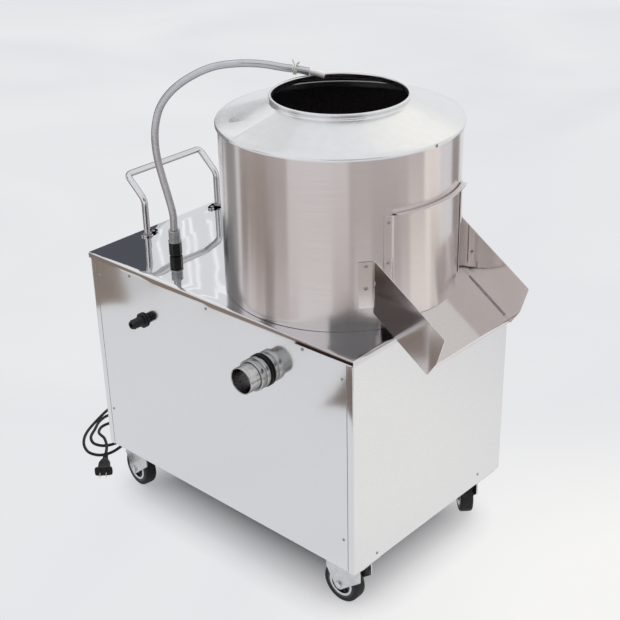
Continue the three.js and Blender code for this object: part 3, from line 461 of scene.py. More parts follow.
def grit_effect():
    """Crushed stone set in resin: rounded cells with smaller ones on top."""
    tree, into, out = effect("grit", [("Grains", FLOAT, 450.0)], [("Height", FLOAT), ("Shade", FLOAT)])
    grains = into.outputs["Grains"]
    cells = node(tree, "ShaderNodeTexVoronoi", {"Vector": object_place(tree), "Scale": grains})
    bumps = ramp_range(tree, cells.outputs["Distance"], 0.0, 0.7, 1.0, 0.0)
    tree.links.new(product(tree, bumps, noise(tree, grains, 3.0)), out.inputs["Height"])
    tree.links.new(bumps, out.inputs["Shade"])
    return tree


EFFECTS = {
    "grain": grain_effect(), "smudges": smudge_effect(), "wear": wear_effect(),
    "dust": dust_effect(), "grit": grit_effect(),
}
print("effects:", ", ".join(EFFECTS))

# %% [markdown]
# ## Finishes
# One function builds every finish from the same layers. The base colour shifts between two
# tones, by grain or by grit. Smudges raise the roughness, wear brightens the edges and dust
# dulls what looks up. A slow ripple bends what a mirror shows, and rods, pipes and hoses may
# get painted shade, a darker colour where they turn away. Metals keep a high Metallic value
# and take their look from what they reflect, so their roughness matters more than their colour.

# %% Finish builder
DUST_COLOUR = (0.55, 0.53, 0.5)
RIPPLE_SIZE, RIPPLE_DEEP, GRAIN_DEEP = 5.0, 0.002, 0.0004


def placed(tree, effect_name, **values):
    """An effect group in a material, with its own values."""
    made = tree.nodes.new("ShaderNodeGroup")
    made.node_tree = EFFECTS[effect_name]
    for name, value in values.items():
        made.inputs[name.replace("_", " ")].default_value = value
    return made


def blend_colour(tree, share, first, second):
    """Mixes two colours by a mask."""
    mix = tree.nodes.new("ShaderNodeMix")
    mix.data_type = "RGBA"
    for socket, value in ((mix.inputs[0], share), (mix.inputs[6], first), (mix.inputs[7], second)):
        if isinstance(value, bpy.types.NodeSocket):
            tree.links.new(value, socket)
        else:
            socket.default_value = value if isinstance(value, float) else (*value, 1.0)
    return mix.outputs[2]


def finish(
    name, colour, other, rough, metallic=0.0, grain=None, grit=None, smudge=(9.0, 0.12), wear=None,
    bright=(0.8, 0.8, 0.8), dust=None, bump=0.0, anisotropic=0.0, coat=0.0, ripple=0.0, specular=0.5,
    edge=None,
):
    """A procedural finish: two tones, roughness that varies, wear, dust, painted edge shade and a little
    relief.
    """
    material = bpy.data.materials.new(name)
    material.use_nodes = True
    tree = material.node_tree
    shader = tree.nodes["Principled BSDF"]
    shader.inputs["Metallic"].default_value = metallic
    if anisotropic:
        shader.inputs["Anisotropic"].default_value = anisotropic
        upright = node(tree, "ShaderNodeCombineXYZ", {"Z": 1.0})
        tree.links.new(upright.outputs[0], shader.inputs["Tangent"])
    shader.inputs["Coat Weight"].default_value = coat
    shader.inputs["Specular IOR Level"].default_value = specular
    marks = placed(tree, "smudges", Size=smudge[0], Amount=1.0).outputs["Mask"]
    if grit:
        texture = placed(tree, "grit", Grains=grit)
        tone, height = texture.outputs["Shade"], texture.outputs["Height"]
    else:
        tone = height = placed(tree, "grain", Stretch=grain or (300, 300, 300)).outputs["Lines"]
    shade = blend_colour(tree, ramp_range(tree, tone, 0.3, 0.7), colour, other)
    if wear:
        worn = placed(tree, "wear", Amount=wear).outputs["Mask"]
        shade = blend_colour(tree, worn, shade, bright)
    if dust:
        settled = placed(tree, "dust", Amount=dust).outputs["Mask"]
        shade = blend_colour(tree, settled, shade, DUST_COLOUR)
    # Painted shade: the base colour turns darker where the surface turns away from the view.
    if edge:
        facing = node(tree, "ShaderNodeLayerWeight", {"Blend": 0.5}).outputs["Facing"]
        shade = blend_colour(tree, ramp_range(tree, facing, 0.25, 0.8), shade, edge)
    tree.links.new(shade, shader.inputs["Base Color"])
    spread = ramp_range(tree, marks, 0.0, 1.0, rough, rough + smudge[1])
    tree.links.new(spread, shader.inputs["Roughness"])
    relief = None
    if ripple:
        swell = placed(tree, "smudges", Size=RIPPLE_SIZE, Detail=0.0).outputs["Mask"]
        soft = node(tree, "ShaderNodeBump", {"Height": swell, "Strength": ripple, "Distance": RIPPLE_DEEP})
        relief = soft.outputs["Normal"]
    if bump:
        fine = node(tree, "ShaderNodeBump", {"Height": height, "Strength": bump, "Distance": GRAIN_DEEP})
        if relief:
            tree.links.new(relief, fine.inputs["Normal"])
        relief = fine.outputs["Normal"]
    if relief:
        tree.links.new(relief, shader.inputs["Normal"])
    return material


# %% The finishes of this machine
FINISHES = {
    "deck_steel": finish(
        "polished deck steel", (0.74, 0.74, 0.755), (0.71, 0.71, 0.72), 0.03, 1.0,
        smudge=(7.0, 0.03), ripple=0.16,
    ),
    # The rod's colour is painted shade towards its edges, where it turns away from the view.
    "rod_steel": finish(
        "handle steel with painted dark edges", (0.80, 0.80, 0.805), (0.72, 0.72, 0.725), 0.08, 1.0,
        smudge=(40.0, 0.10), edge=(0.11, 0.11, 0.115),
    ),
    "panel_steel": finish(
        "polished panel steel", (0.80, 0.80, 0.81), (0.77, 0.77, 0.775), 0.09, 1.0,
        smudge=(4.0, 0.06), ripple=0.04,
    ),
    "brushed_steel": finish(
        "brushed drum steel", (0.76, 0.715, 0.705), (0.73, 0.685, 0.675), 0.20, 1.0,
        grain=(14, 14, 900), smudge=(6.0, 0.03), bump=0.02, anisotropic=0.85,
    ),
    "lid_steel": finish(
        "satin lid steel", (0.84, 0.84, 0.835), (0.81, 0.81, 0.81), 0.24, 1.0,
        grain=(60, 60, 60), smudge=(6.0, 0.05),
    ),
    "guard_steel": finish(
        "polished guard steel", (0.84, 0.80, 0.79), (0.80, 0.76, 0.75), 0.10, 1.0,
        smudge=(7.0, 0.06), ripple=0.04,
    ),
    # The pipe's colour is painted shade towards its edges; its scratches and wear are real marks.
    "drain_steel": finish(
        "scratched pipe steel", (0.58, 0.58, 0.57), (0.44, 0.44, 0.43), 0.20, 1.0,
        grain=(20, 160, 20), smudge=(25.0, 0.15), wear=0.3, bump=0.08, edge=(0.11, 0.11, 0.11),
    ),
    "dull_steel": finish(
        "dull rolled steel", (0.48, 0.48, 0.48), (0.36, 0.36, 0.355), 0.36, 1.0,
        grain=(40, 400, 40), smudge=(30.0, 0.2), wear=0.4, bump=0.1,
    ),
    "zinc_steel": finish(
        "bright zinc plate", (0.72, 0.73, 0.74), (0.60, 0.61, 0.63), 0.26, 1.0,
        grain=(90, 90, 90), smudge=(30.0, 0.15), dust=0.15,
    ),
    "grey_iron": finish(
        "painted cast iron", (0.10, 0.105, 0.11), (0.07, 0.075, 0.08), 0.5, 0.3,
        grit=900.0, wear=0.5, bump=0.3, dust=0.3, bright=(0.4, 0.4, 0.4),
    ),
    "motor_paint": finish(
        "motor paint", (0.035, 0.11, 0.26), (0.03, 0.09, 0.21), 0.38,
        grit=1200.0, wear=0.5, bump=0.15, dust=0.3, bright=(0.35, 0.38, 0.42),
    ),
    "liner_grit": finish(
        "black liner grit", (0.026, 0.021, 0.023), (0.075, 0.062, 0.066), 0.75,
        grit=420.0, bump=1.0,
    ),
    "disc_grit": finish(
        "disc grit", (0.016, 0.014, 0.013), (0.05, 0.045, 0.04), 0.75, grit=320.0, bump=1.0,
    ),
    "black_rubber": finish(
        "black rubber", (0.010, 0.010, 0.010), (0.014, 0.014, 0.014), 0.38,
        smudge=(40.0, 0.2), dust=0.02, bump=0.08, specular=0.2,
    ),
    "tread_rubber": finish(
        "dark tread rubber", (0.018, 0.018, 0.019), (0.03, 0.03, 0.031), 0.55,
        smudge=(50.0, 0.2), dust=0.2, bump=0.15, specular=0.25,
    ),
    "wheel_core": finish(
        "wheel core plastic", (0.02, 0.02, 0.022), (0.03, 0.03, 0.032), 0.35,
        smudge=(60.0, 0.2), dust=0.2,
    ),
    # The hose's colour is painted shade along its edges, where it turns away from the view.
    "hose_vinyl": finish(
        "grey hose vinyl", (0.62, 0.62, 0.64), (0.56, 0.56, 0.58), 0.12, 0.5,
        grain=(60, 60, 60), smudge=(30.0, 0.05), coat=0.4, edge=(0.05, 0.05, 0.053),
    ),
    "white_plastic": finish(
        "white plastic", (0.82, 0.81, 0.77), (0.76, 0.75, 0.70), 0.35, smudge=(50.0, 0.2), dust=0.1,
    ),
    "black_plastic": finish(
        "black moulded plastic", (0.012, 0.012, 0.013), (0.018, 0.018, 0.019), 0.34,
        smudge=(50.0, 0.2), dust=0.04, bump=0.08, specular=0.25,
    ),
    "green_plastic": finish(
        "green button plastic", (0.02, 0.27, 0.07), (0.015, 0.22, 0.055), 0.25, smudge=(60.0, 0.15),
    ),
    "red_plastic": finish(
        "red button plastic", (0.45, 0.02, 0.02), (0.38, 0.015, 0.015), 0.25, smudge=(60.0, 0.15),
    ),
    "pin_brass": finish(
        "plated pin metal", (0.66, 0.62, 0.52), (0.58, 0.54, 0.45), 0.22, 1.0, grain=(900, 60, 60),
        smudge=(90.0, 0.15),
    ),
    "screw_steel": finish(
        "screw steel", (0.50, 0.50, 0.50), (0.34, 0.34, 0.34), 0.28, 1.0, smudge=(90.0, 0.2), wear=0.4,
    ),
    "weld_steel": finish(
        "weld bead", (0.42, 0.40, 0.38), (0.30, 0.28, 0.26), 0.34, 1.0, smudge=(90.0, 0.2), bump=0.3,
    ),
}
print("finishes:", len(FINISHES))

# %% [markdown]
# ## From a list to a piece
# A piece gets its finish, the body that it rides on and the CAD solids that it stands for.
# A small bevel goes on the cut edges of many pieces, because a real edge is never perfectly
# sharp and the thin light line on it is what makes sheet metal look like sheet metal.

# %% Piece maker
made_count = {"pieces": 0, "points": 0}


def into_scene(name, data):
    """A new object that shows a mesh, a curve or a lamp."""
    made = bpy.data.objects.new(name, data)
    bpy.context.scene.collection.objects.link(made)
    return made


def piece(name, shape, look, body="machine", stands_for=(), bevel=0.0, steps=2, sharp=32.0, limit=34.0):
    """A list of points as a mesh object that rides on a CAD body."""
    points, faces = shape
    mesh = bpy.data.meshes.new(name)
    mesh.from_pydata([spot(*point) for point in points], [], faces)
    work = bmesh.new()
    work.from_mesh(mesh)
    bmesh.ops.remove_doubles(work, verts=work.verts, dist=1e-6)
    bmesh.ops.recalc_face_normals(work, faces=work.faces)
    work.to_mesh(mesh)
    work.free()
    mesh.validate()
    mesh.shade_smooth()
    mesh.materials.append(FINISHES[look])
    made = into_scene(name, mesh)
    if bevel:
        soften = made.modifiers.new("soft edges", "BEVEL")
        soften.width, soften.segments = bevel * MM, steps
        soften.limit_method, soften.angle_limit = "ANGLE", math.radians(limit)
        soften.harden_normals = True
    else:
        mesh.set_sharp_from_angle(angle=math.radians(sharp))
    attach(made, body)
    if stands_for:
        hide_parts(*stands_for)
    made_count["pieces"] += 1
    made_count["points"] += len(points)
    return made


print("ready to make pieces")

# %% [markdown]
# ## The mains lead
# The lead leaves a gland on the rear face, drops to the floor and lies there in loose
# loops that end in a two-pin plug. A lead has one fixed length, so it is drawn first, as
# one curve with one thickness, along the same points as the drawing. The points are dense
# enough that no bend is tighter than a real lead allows.

# %% Mains lead
LEAD = 6.2
LEAD_POINTS = [
    (-466.6, 95, 320), (-490, 95, 317), (-516, 94, 292), (-531, 93, 248), (-548, 90, 70),
    (-556, 90, 33), (-573, 90, 10.8), (-598, 88, 4.4), (-628, 73, 3.6), (-648, 42, 3.2),
    (-656, 2, 3.1), (-653.9, -34, 3.1), (-642.8, -68.9, 3.1), (-616.3, -128.2, 3.1),
    (-596.9, -152.9, 3.1), (-573.9, -169.8, 3.1), (-548.1, -177.3, 3.1), (-525.1, -169.5, 3.1),
    (-514, -148.1, 3.1), (-522, -95, 3.1), (-536, -60, 3.1), (-560, -36.1, 3.1),
    (-589, -27.1, 3.1), (-618.1, -34.9, 3.1), (-633.3, -58.2, 3.1), (-628.3, -85.1, 3.1),
    (-611, -112, 3.1), (-592.1, -138.2, 3.1), (-567.9, -148.9, 3.1), (-545.3, -140.5, 3.1),
    (-533.7, -115.1, 3.1), (-538.1, -86, 3.1), (-554.1, -61, 3.2), (-580.1, -54.6, 3.2),
    (-602.3, -68.7, 3.2), (-607.3, -94.8, 3.4), (-592.5, -116, 4.9), (-557.2, -129.2, 10.9),
    (-531, -144.5, 11.3), (-511, -163, 10),
]
lead_path = smooth_path(LEAD_POINTS)


def lead_curve(name, path, thickness, look):
    """The lead as a curve of one open spline with a round section."""
    data = bpy.data.curves.new(name, "CURVE")
    data.dimensions = "3D"
    data.bevel_depth, data.bevel_resolution, data.use_fill_caps = thickness / 2 * MM, 5, True
    line = data.splines.new("POLY")
    line.points.add(len(path) - 1)
    for point, place in zip(line.points, path):
        point.co = (*spot(*place), 1)
    line.use_smooth = True
    data.materials.append(FINISHES[look])
    made = into_scene(name, data)
    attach(made, "machine")
    return made


mains_lead = lead_curve("mains_lead", lead_path, LEAD, "black_rubber")
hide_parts("power_cord")
print("lead length", round(path_length(lead_path)), "mm")

# %% [markdown]
# ## The plug
# A moulded flat plug has a ribbed tail that bends with the lead, a waist for the fingers
# and a flange at the pins. It is one rubber body, so it is one mesh: rounded sections of
# changing width and thickness, strung along the plug's own axis like slices of a loaf.

# %% Plug and pins
PLUG_TAIL, PLUG_BODY, PLUG_FLANGE = 24.0, 38.0, 5.0
PLUG_RIBS, PLUG_HEIGHT = 6, 10.0
PIN_SPACING, PIN_WIDTH, PIN_THICK, PIN_LONG = 12.7, 6.3, 1.5, 17.0
PIN_HOLE, PIN_HOLE_BACK = 1.6, 4.5


def slices(sections, count=40):
    """Rounded sections along X: place, half width, half thickness and squareness."""
    points, faces = [], []
    for place, half_width, half_thick, square in sections:
        for index in range(count):
            angle = 2 * math.pi * index / count
            across, up = math.cos(angle), math.sin(angle)
            power = 2 / square
            points.append((
                place, half_width * math.copysign(abs(across) ** power, across),
                half_thick * math.copysign(abs(up) ** power, up),
            ))
    for ring in range(len(sections) - 1):
        faces += band(ring * count, (ring + 1) * count, count)
    faces += [tuple(reversed(range(count))), tuple(range(len(points) - count, len(points)))]
    return points, faces


def plug_sections():
    """The tail's ribs, the waist, the shoulders and the flange."""
    sections = [(0.3, 3.6, 3.6, 2)]
    for rib in range(PLUG_RIBS):
        start = 1.0 + rib * 3.4
        swell = 4.3 + 0.32 * rib
        groove = swell - 0.9
        sections += [
            (start, groove, groove, 2), (start + 0.5, swell, swell, 2),
            (start + 1.8, swell, swell, 2), (start + 2.3, groove, groove, 2),
        ]
    body = PLUG_TAIL
    sections += [
        (body - 1.5, 5.6, 5.4, 2.2), (body + 1, 6.6, 6.6, 2.6), (body + 7, 9.0, 7.8, 3.2),
        (body + 14, 11.6, 7.8, 3.8), (body + 20, 12.3, 7.5, 4), (body + 27, 12.4, 7.5, 4),
        (body + 33, 12.9, 7.8, 4), (body + 37, 13.3, 7.9, 4.4),
        (body + 37.6, 17.2, 9.4, 5), (body + 38.4, 17.9, 9.9, 5), (body + 42.0, 17.9, 9.9, 5),
        (body + 42.9, 17.2, 9.2, 5),
    ]
    return sections


plug_place = Matrix.Translation(Vector((lead_path[-1].x, lead_path[-1].y, PLUG_HEIGHT)))
plug_turn = plug_place @ Matrix.Rotation(math.atan2(*(lead_path[-1] - lead_path[-2]).yx), 4, "Z")


def pin_shape(side):
    """A flat blade with a rounded tip and a hole through it."""
    start, end = PLUG_TAIL + PLUG_BODY - 1, PLUG_TAIL + PLUG_BODY + PLUG_FLANGE + PIN_LONG
    half = PIN_WIDTH / 2
    outline = rounded([(start, -half), (end, -half), (end, half), (start, half)], 1.6, 5)
    hole = circle(PIN_HOLE, len(outline), end - PIN_HOLE_BACK, 0, math.radians(225))
    blade = holed(outline, hole, -PIN_THICK / 2, PIN_THICK / 2)
    stand = Matrix.Translation((0, side * PIN_SPACING / 2, 0)) @ Matrix.Rotation(math.pi / 2, 4, "X")
    return moved(moved(blade, stand), plug_turn)


plug_shape = moved(slices(plug_sections()), plug_turn)
plug = piece("plug_moulding", plug_shape, "black_rubber", stands_for=["plug_body"])
pins = [
    piece(f"plug_blade_{name}", pin_shape(side), "pin_brass", stands_for=[f"plug_pin_{name}"], bevel=0.2)
    for name, side in SIDES
]
print("plug and", len(pins), "blades")

# %% [markdown]
# ## Screws and bolts
# A pan head screw is a low dome with a cross pressed into it. The dome is a fan of rings,
# and the cross is made by pushing down the points that lie inside its two arms. Drawn once
# on the Z axis, it is then aimed wherever the machine needs one.

# %% Fasteners
def pan_head(radius=3.0, height=1.5, spin=0.0):
    """A pan head screw with a cross recess."""
    rings, sides = 9, 40
    arm, reach, depth = 0.17 * radius, 0.62 * radius, 0.55 * height
    profile = [(0, height)]
    for ring in range(1, rings + 1):
        share = ring / rings
        profile.append((radius * share, height * (1 - share ** 3.2) + 0.02))
    profile += [(radius, -0.3), (0, -0.3)]
    points, faces = turned(profile, sides)
    sunk = []
    for x, y, z in points:
        flat = math.hypot(x, y)
        if z > 0 and flat < reach and (abs(x) < arm or abs(y) < arm):
            z -= depth
        sunk.append((x, y, z))
    return moved((sunk, faces), Matrix.Rotation(spin, 4, "Z"))


def hex_head(radius, height, washer=0.0):
    """A hexagon head with a chamfered crown, on a washer if it has one."""
    crown = turned([(0, height), (radius * 0.82, height), (radius, height * 0.82), (radius, 0), (0, 0)], 6)
    if not washer:
        return crown
    lifted = moved(crown, Matrix.Translation((0, 0, 1.0)))
    return join(lifted, turned([(0, 1.0), (washer, 1.0), (washer, 0), (0, 0)], 32))


def rivet_head(radius, height):
    """A low round head."""
    return turned([
        (0, height), (radius * 0.4, height * 0.93), (radius * 0.75, height * 0.66), (radius, 0.1),
        (radius, -0.3), (0, -0.3),
    ], 24)


def screw_set(name, screws, bevel=0.1):
    """Screws that lie in one face, as one piece."""
    return piece(name, join(*screws), "screw_steel", bevel=bevel, limit=60)


print("a pan head has", len(pan_head()[1]), "faces")

# %% [markdown]
# ## The cabinet's sheets
# The cabinet is folded from thin sheet. A folded sheet is a path seen from its end, carried
# across a width: an outer path, and an inner one a sheet's thickness away. Thin sheet is
# never quite flat, so each wide face dips by a fraction of a millimetre. A polished face
# shows that at once, as the gentle waves in what it reflects.

# %% Folding sheet metal
def dip(a, b, seed, deep=0.35):
    """How far a place on a wide sheet dips below flat, never above."""
    wave = math.sin(a * 0.021 + seed) * math.cos(b * 0.017 + 2.1 * seed)
    wave += 0.6 * math.sin(a * 0.043 - b * 0.031 + 1.7 * seed)
    return deep * (wave / 3.2 + 0.5)


def fold_path(corners, radius, steps=5):
    """A flat path with an arc at each of its inner corners."""
    corners = [Vector(corner) for corner in corners]
    outer = [corners[0]]
    for before, corner, after in zip(corners, corners[1:], corners[2:]):
        come, go = (corner - before).normalized(), (after - corner).normalized()
        start = corner - come * radius
        centre = start + go * radius
        for step in range(steps + 1):
            angle = math.pi / 2 * step / steps
            outer.append(centre - go * radius * math.cos(angle) + come * radius * math.sin(angle))
    return outer + [corners[-1]]


def inside_path(path, turn, thickness=SHEET):
    """The path moved sideways, to its left if turn is 1 and to its right if it is -1."""
    moved_points = []
    for index, point in enumerate(path):
        before = path[max(index - 1, 0)]
        after = path[min(index + 1, len(path) - 1)]
        way = (after - before).normalized()
        moved_points.append(point + Vector((-way.y, way.x)) * turn * thickness)
    return moved_points


def subdivided(path, longest):
    """The same path with extra points on its long runs."""
    result = [path[0]]
    for before, after in zip(path, path[1:]):
        parts = max(1, math.ceil((after - before).length / longest))
        result += [before.lerp(after, part / parts) for part in range(1, parts + 1)]
    return result


def spread(low, high, longest):
    """Even steps from one value to another, none longer than asked."""
    parts = max(1, math.ceil((high - low) / longest))
    return [low + (high - low) * part / parts for part in range(parts + 1)]


# %% End panels
PANEL_BEND, END_CELL, SIDE_CELL = 2.2, 22, 20
FADE = 40


def end_panel(name, outer_x, inward, seed):
    """An end face whose two folds wrap round onto the long sides."""
    edge = outer_x + inward * FOLD
    corners = [(edge, -PANEL_SIDE), (outer_x, -PANEL_SIDE), (outer_x, PANEL_SIDE), (edge, PANEL_SIDE)]
    path = subdivided(fold_path(corners, PANEL_BEND), END_CELL)
    back = inside_path(path, -inward)
    heights = spread(PANEL_LOW, PANEL_TOP, END_CELL)

    def wavy(point, height):
        if abs(point.x - outer_x) > 4:
            return (point.x, point.y, height)
        fade = max(0.0, min(1.0, (PANEL_SIDE - abs(point.y) - 3) / FADE))
        return (point.x + inward * fade * dip(point.y, height, seed), point.y, height)

    faces = shell(
        [[wavy(point, height) for point in path] for height in heights],
        [[wavy(point, height) for point in back] for height in heights],
    )
    clear = SHEET + 0.2
    x0, x1 = sorted((outer_x + inward * clear, edge))
    foot = brick(x0, x1, clear - PANEL_SIDE, PANEL_SIDE - clear, PANEL_LOW, PANEL_LOW + SHEET)
    return piece(f"{name}_sheet", join(faces, foot), "panel_steel", stands_for=[name], bevel=0.3)


end_panel("rear_end_panel", PANEL_REAR, 1, 0.4)
end_panel("front_end_panel", PANEL_FRONT, -1, 1.9)


# %% Side panels
def side_panel(name, side, seed):
    """A long face between the folds of the end panels, turned in along its foot."""
    x0, x1 = PANEL_REAR + FOLD + 1, PANEL_FRONT - FOLD - 1
    corners = [(PANEL_SIDE, PANEL_TOP), (PANEL_SIDE, PANEL_LOW), (PANEL_SIDE - FOLD, PANEL_LOW)]
    path = subdivided(fold_path(corners, PANEL_BEND), SIDE_CELL)
    back = inside_path(path, -1)
    stations = spread(x0, x1, SIDE_CELL)

    def wavy(point, x):
        y, z = point
        fade = max(0.0, min(1.0, (z - PANEL_LOW - 4) / FADE, (x - x0) / 30, (x1 - x) / 30))
        if y < PANEL_SIDE - 4:
            fade = 0.0
        return (x, side * (y - fade * dip(x, z, seed, 0.5)), z)

    faces = shell(
        [[wavy(point, x) for point in path] for x in stations],
        [[wavy(point, x) for point in back] for x in stations],
    )
    return piece(f"{name}_sheet", faces, "panel_steel", stands_for=[name], bevel=0.3)


side_panel("near_side_panel", -1, 3.3)
side_panel("far_side_panel", 1, 5.1)
print("panels folded")

# %% [markdown]
# ## The top plate
# The deck is a shallow lid over the cabinet: a flat face with a round hole under the drum,
# and a rim turned down all round. Its grid runs from the round hole to the square rim, so
# that both edges are exact. The face is polished to a mirror and shows the water hose and
# the handle standing on it.

# %% Top plate
def along_outline(corners, count):
    """Evenly spaced places along the straight sides of a closed outline."""
    corners = [Vector(corner) for corner in corners]
    result = []
    for start, end in zip(corners, corners[1:] + corners[:1]):
        result += [start.lerp(end, part / count) for part in range(count)]
    return result


def top_plate():
    """The deck's face with its round hole, and the rim turned down along its four sides."""
    hole, bend, rim = DRUM - 6, 2.0, 11.0
    edge = along_outline([(REAR, -SIDE), (FRONT, -SIDE), (FRONT, SIDE), (REAR, SIDE)], 40)
    angles = [math.atan2(point.y, point.x) for point in edge]

    def inset(point, amount):
        x = max(REAR + amount, min(FRONT - amount, point.x))
        y = max(-SIDE + amount, min(SIDE - amount, point.y))
        return x, y

    def rows(face):
        """Rings of the outer face, or of the inner one that far below it."""
        result = []
        for share in [0, 0.1, 0.22, 0.36, 0.5, 0.64, 0.78, 0.9]:
            ring = []
            for point, angle in zip(edge, angles):
                x, y = inset(point, bend + 1)
                cx, cy = hole * math.cos(angle), hole * math.sin(angle)
                px, py = cx + (x - cx) * share, cy + (y - cy) * share
                fade = min(1.0, share / 0.2, (0.97 - share) / 0.2)
                ring.append((px, py, DECK - face - max(0, fade) * dip(px, py, 0.9, 0.6)))
            result.append(ring)
        for step in range(5):
            angle = math.pi / 2 * step / 4
            out = bend - (bend - face) * math.sin(angle)
            down = face + (bend - face) * (1 - math.cos(angle))
            result.append([(*inset(point, out), DECK - down) for point in edge])
        result.append([(*inset(point, face), DECK - rim) for point in edge])
        return result

    return shell(rows(0), rows(SHEET), loop=True)


piece("top_plate_sheet", top_plate(), "deck_steel", stands_for=["top_plate"], bevel=0.25, limit=50)
print("top plate done")

# %% [markdown]
# ## The drum
# The drum is a rolled sheet with a window for the potatoes to leave by. Its grid has extra
# columns exactly on the window's two upright edges. The rows bend down to the tray's line
# under the window and come back level behind it. A weld runs up the back where the sheet
# meets itself, and a hair of unevenness keeps the reflections from being perfect stripes.

# %% Drum shell
def out_of_round(angle, height):
    """A rolled sheet is flatter in some places; always inwards."""
    return 0.25 * (1 + math.sin(3 * angle + 0.7)) / 2 + 0.15 * (1 + math.sin(7 * angle + height * 0.004)) / 2


WINDOW_COLUMNS, BACK_COLUMNS = 36, 220
ROWS_LOW, ROWS_WINDOW, ROWS_HIGH = 1, 10, 8
BEND_START, BEND_LONG, BACK_SILL = 0.4, 0.6, 531
window_edge = math.asin(OPEN_HALF / DRUM)
window, back = 2 * window_edge, 2 * math.pi - 2 * window_edge
drum_angles = [window * index / WINDOW_COLUMNS - window_edge for index in range(WINDOW_COLUMNS + 1)]
drum_angles += [back * index / BACK_COLUMNS + window_edge for index in range(1, BACK_COLUMNS)]


def is_sheet(row, column):
    """Every cell of the drum's grid is sheet, save those of the window."""
    return not (ROWS_LOW <= row < ROWS_LOW + ROWS_WINDOW and column < WINDOW_COLUMNS)


def drum_grid(radius):
    """Rings of places on the drum. They dip to the tray's line at the window's sill."""
    grid = []
    for row in range(ROWS_LOW + ROWS_WINDOW + ROWS_HIGH + 1):
        ring = []
        for column, angle in enumerate(drum_angles):
            far = min(1.0, max(0.0, (abs(math.remainder(angle, 2 * math.pi)) - BEND_START) / BEND_LONG))
            if column <= WINDOW_COLUMNS:
                sill = tray_height(DRUM * math.cos(angle))
            else:
                sill = tray_height(DRUM * math.cos(BEND_START)) * (1 - far) + BACK_SILL * far
            if row <= ROWS_LOW:
                height = DRUM_LOW + (sill - DRUM_LOW) * row / ROWS_LOW
            elif row <= ROWS_LOW + ROWS_WINDOW:
                height = sill + (OPEN_TOP - sill) * (row - ROWS_LOW) / ROWS_WINDOW
            else:
                height = OPEN_TOP + (DRUM_TOP - OPEN_TOP) * (row - ROWS_LOW - ROWS_WINDOW) / ROWS_HIGH
            ring.append(around(radius - out_of_round(angle, height), angle, height))
        grid.append(ring)
    return grid


drum_shape = shell(drum_grid(DRUM), drum_grid(DRUM - SHEET), is_sheet, loop=True)
piece("drum_sheet", drum_shape, "brushed_steel", stands_for=["drum_shell"], bevel=0.3)

seam_heights = spread(DRUM_LOW + 0.5, DRUM_TOP - 4, 3)
seam_points = [(-DRUM - 0.1, 0.6 * math.sin(height * 0.9), height) for height in seam_heights]
seam_sizes = [1.3 + 0.35 * math.sin(index * 2.1) for index in range(len(seam_points))]
piece("drum_weld_seam", tube(seam_points, seam_sizes, 10), "weld_steel")
print("drum rolled and welded")

# %% [markdown]
# ## The lid
# The lid is a flat cone with a short skirt outside the drum and a collar with a rolled
# bead at the feed opening. It is turned like a bowl, then creased: the flat sheet was
# lapped on itself along one line, where a rivet and a screw hold it, so the cone runs a
# little flat on either side of that line.

# %% Lid
LAP = math.radians(-106.0)
SKIRT, COLLAR = 203.5, 113.6
SKIRT_FOOT = 795.4
CONE_OUT, CONE_IN = SKIRT - 1.6, COLLAR + 2.5
CONE_LOW, CONE_TOP = 800.9, 828.9
BEAD_RING, BEAD_HEIGHT, BEAD = 112.85, 837.4, 2.55


def lid_profile():
    """Outer face from the skirt's foot to the collar, then the rolled bead, then back inside."""
    outside = [(SKIRT, SKIRT_FOOT), (SKIRT, 799.2), (SKIRT - 0.5, 800.1), (CONE_OUT, CONE_LOW)]
    for step in range(1, 9):
        share = step / 8
        outside.append((CONE_OUT + (CONE_IN - CONE_OUT) * share, CONE_LOW + (CONE_TOP - CONE_LOW) * share))
    outside += [(COLLAR + 0.9, 829.7), (COLLAR, 831.2), (COLLAR, 834.2)]
    bead = []
    for step in range(15):
        angle = -0.9 + (2 * math.pi - 1.4) * step / 14
        bead.append((BEAD_RING + BEAD * math.cos(angle), BEAD_HEIGHT + BEAD * math.sin(angle)))
    inside = [
        (COLLAR - SHEET, 834.0), (COLLAR - SHEET, 829.0), (SKIRT - 2.4, 798.9),
        (SKIRT - SHEET, 797.8), (SKIRT - SHEET, SKIRT_FOOT),
    ]
    return outside + bead + inside


def creased(shape):
    """Flattens the cone on either side of its lap."""
    points, faces = shape
    result = []
    for x, y, z in points:
        radius, angle = math.hypot(x, y), math.atan2(y, x)
        away = math.remainder(angle - LAP, 2 * math.pi)
        fade = max(0.0, min(1.0, (radius - 116) / 25, (203 - radius) / 20))
        right = math.sin(math.pi * min(1.0, max(0.0, away / 0.5)))
        left = math.sin(math.pi * min(1.0, max(0.0, -away / 0.75)))
        result.append((x, y, z - fade * (1.5 * right + 2.2 * left)))
    return result, faces


lid_shape = creased(turned(lid_profile(), 216, closed=True))
piece("lid_cone", lid_shape, "lid_steel", stands_for=["lid"], sharp=60)


def on_cone(radius, angle, lift=0.0):
    """A place on the cone, or above it."""
    rise = (CONE_TOP - CONE_LOW) * (CONE_OUT - radius) / (CONE_OUT - CONE_IN)
    return around(radius, angle, CONE_LOW + rise + lift)


def lap_strip():
    """The upper sheet's edge along the lap, a sheet thick."""
    outer, inner = [], []
    for radius in [120 + 6.5 * step for step in range(13)]:
        row = [on_cone(radius, LAP + offset / radius) for offset in (0.0, 2.0, 5.0, 9.0)]
        outer.append([(x, y, z + lift) for (x, y, z), lift in zip(row, (0.8, 0.8, 0.5, -0.6))])
        inner.append([(x, y, z - 1.2) for x, y, z in row])
    return shell(outer, inner)


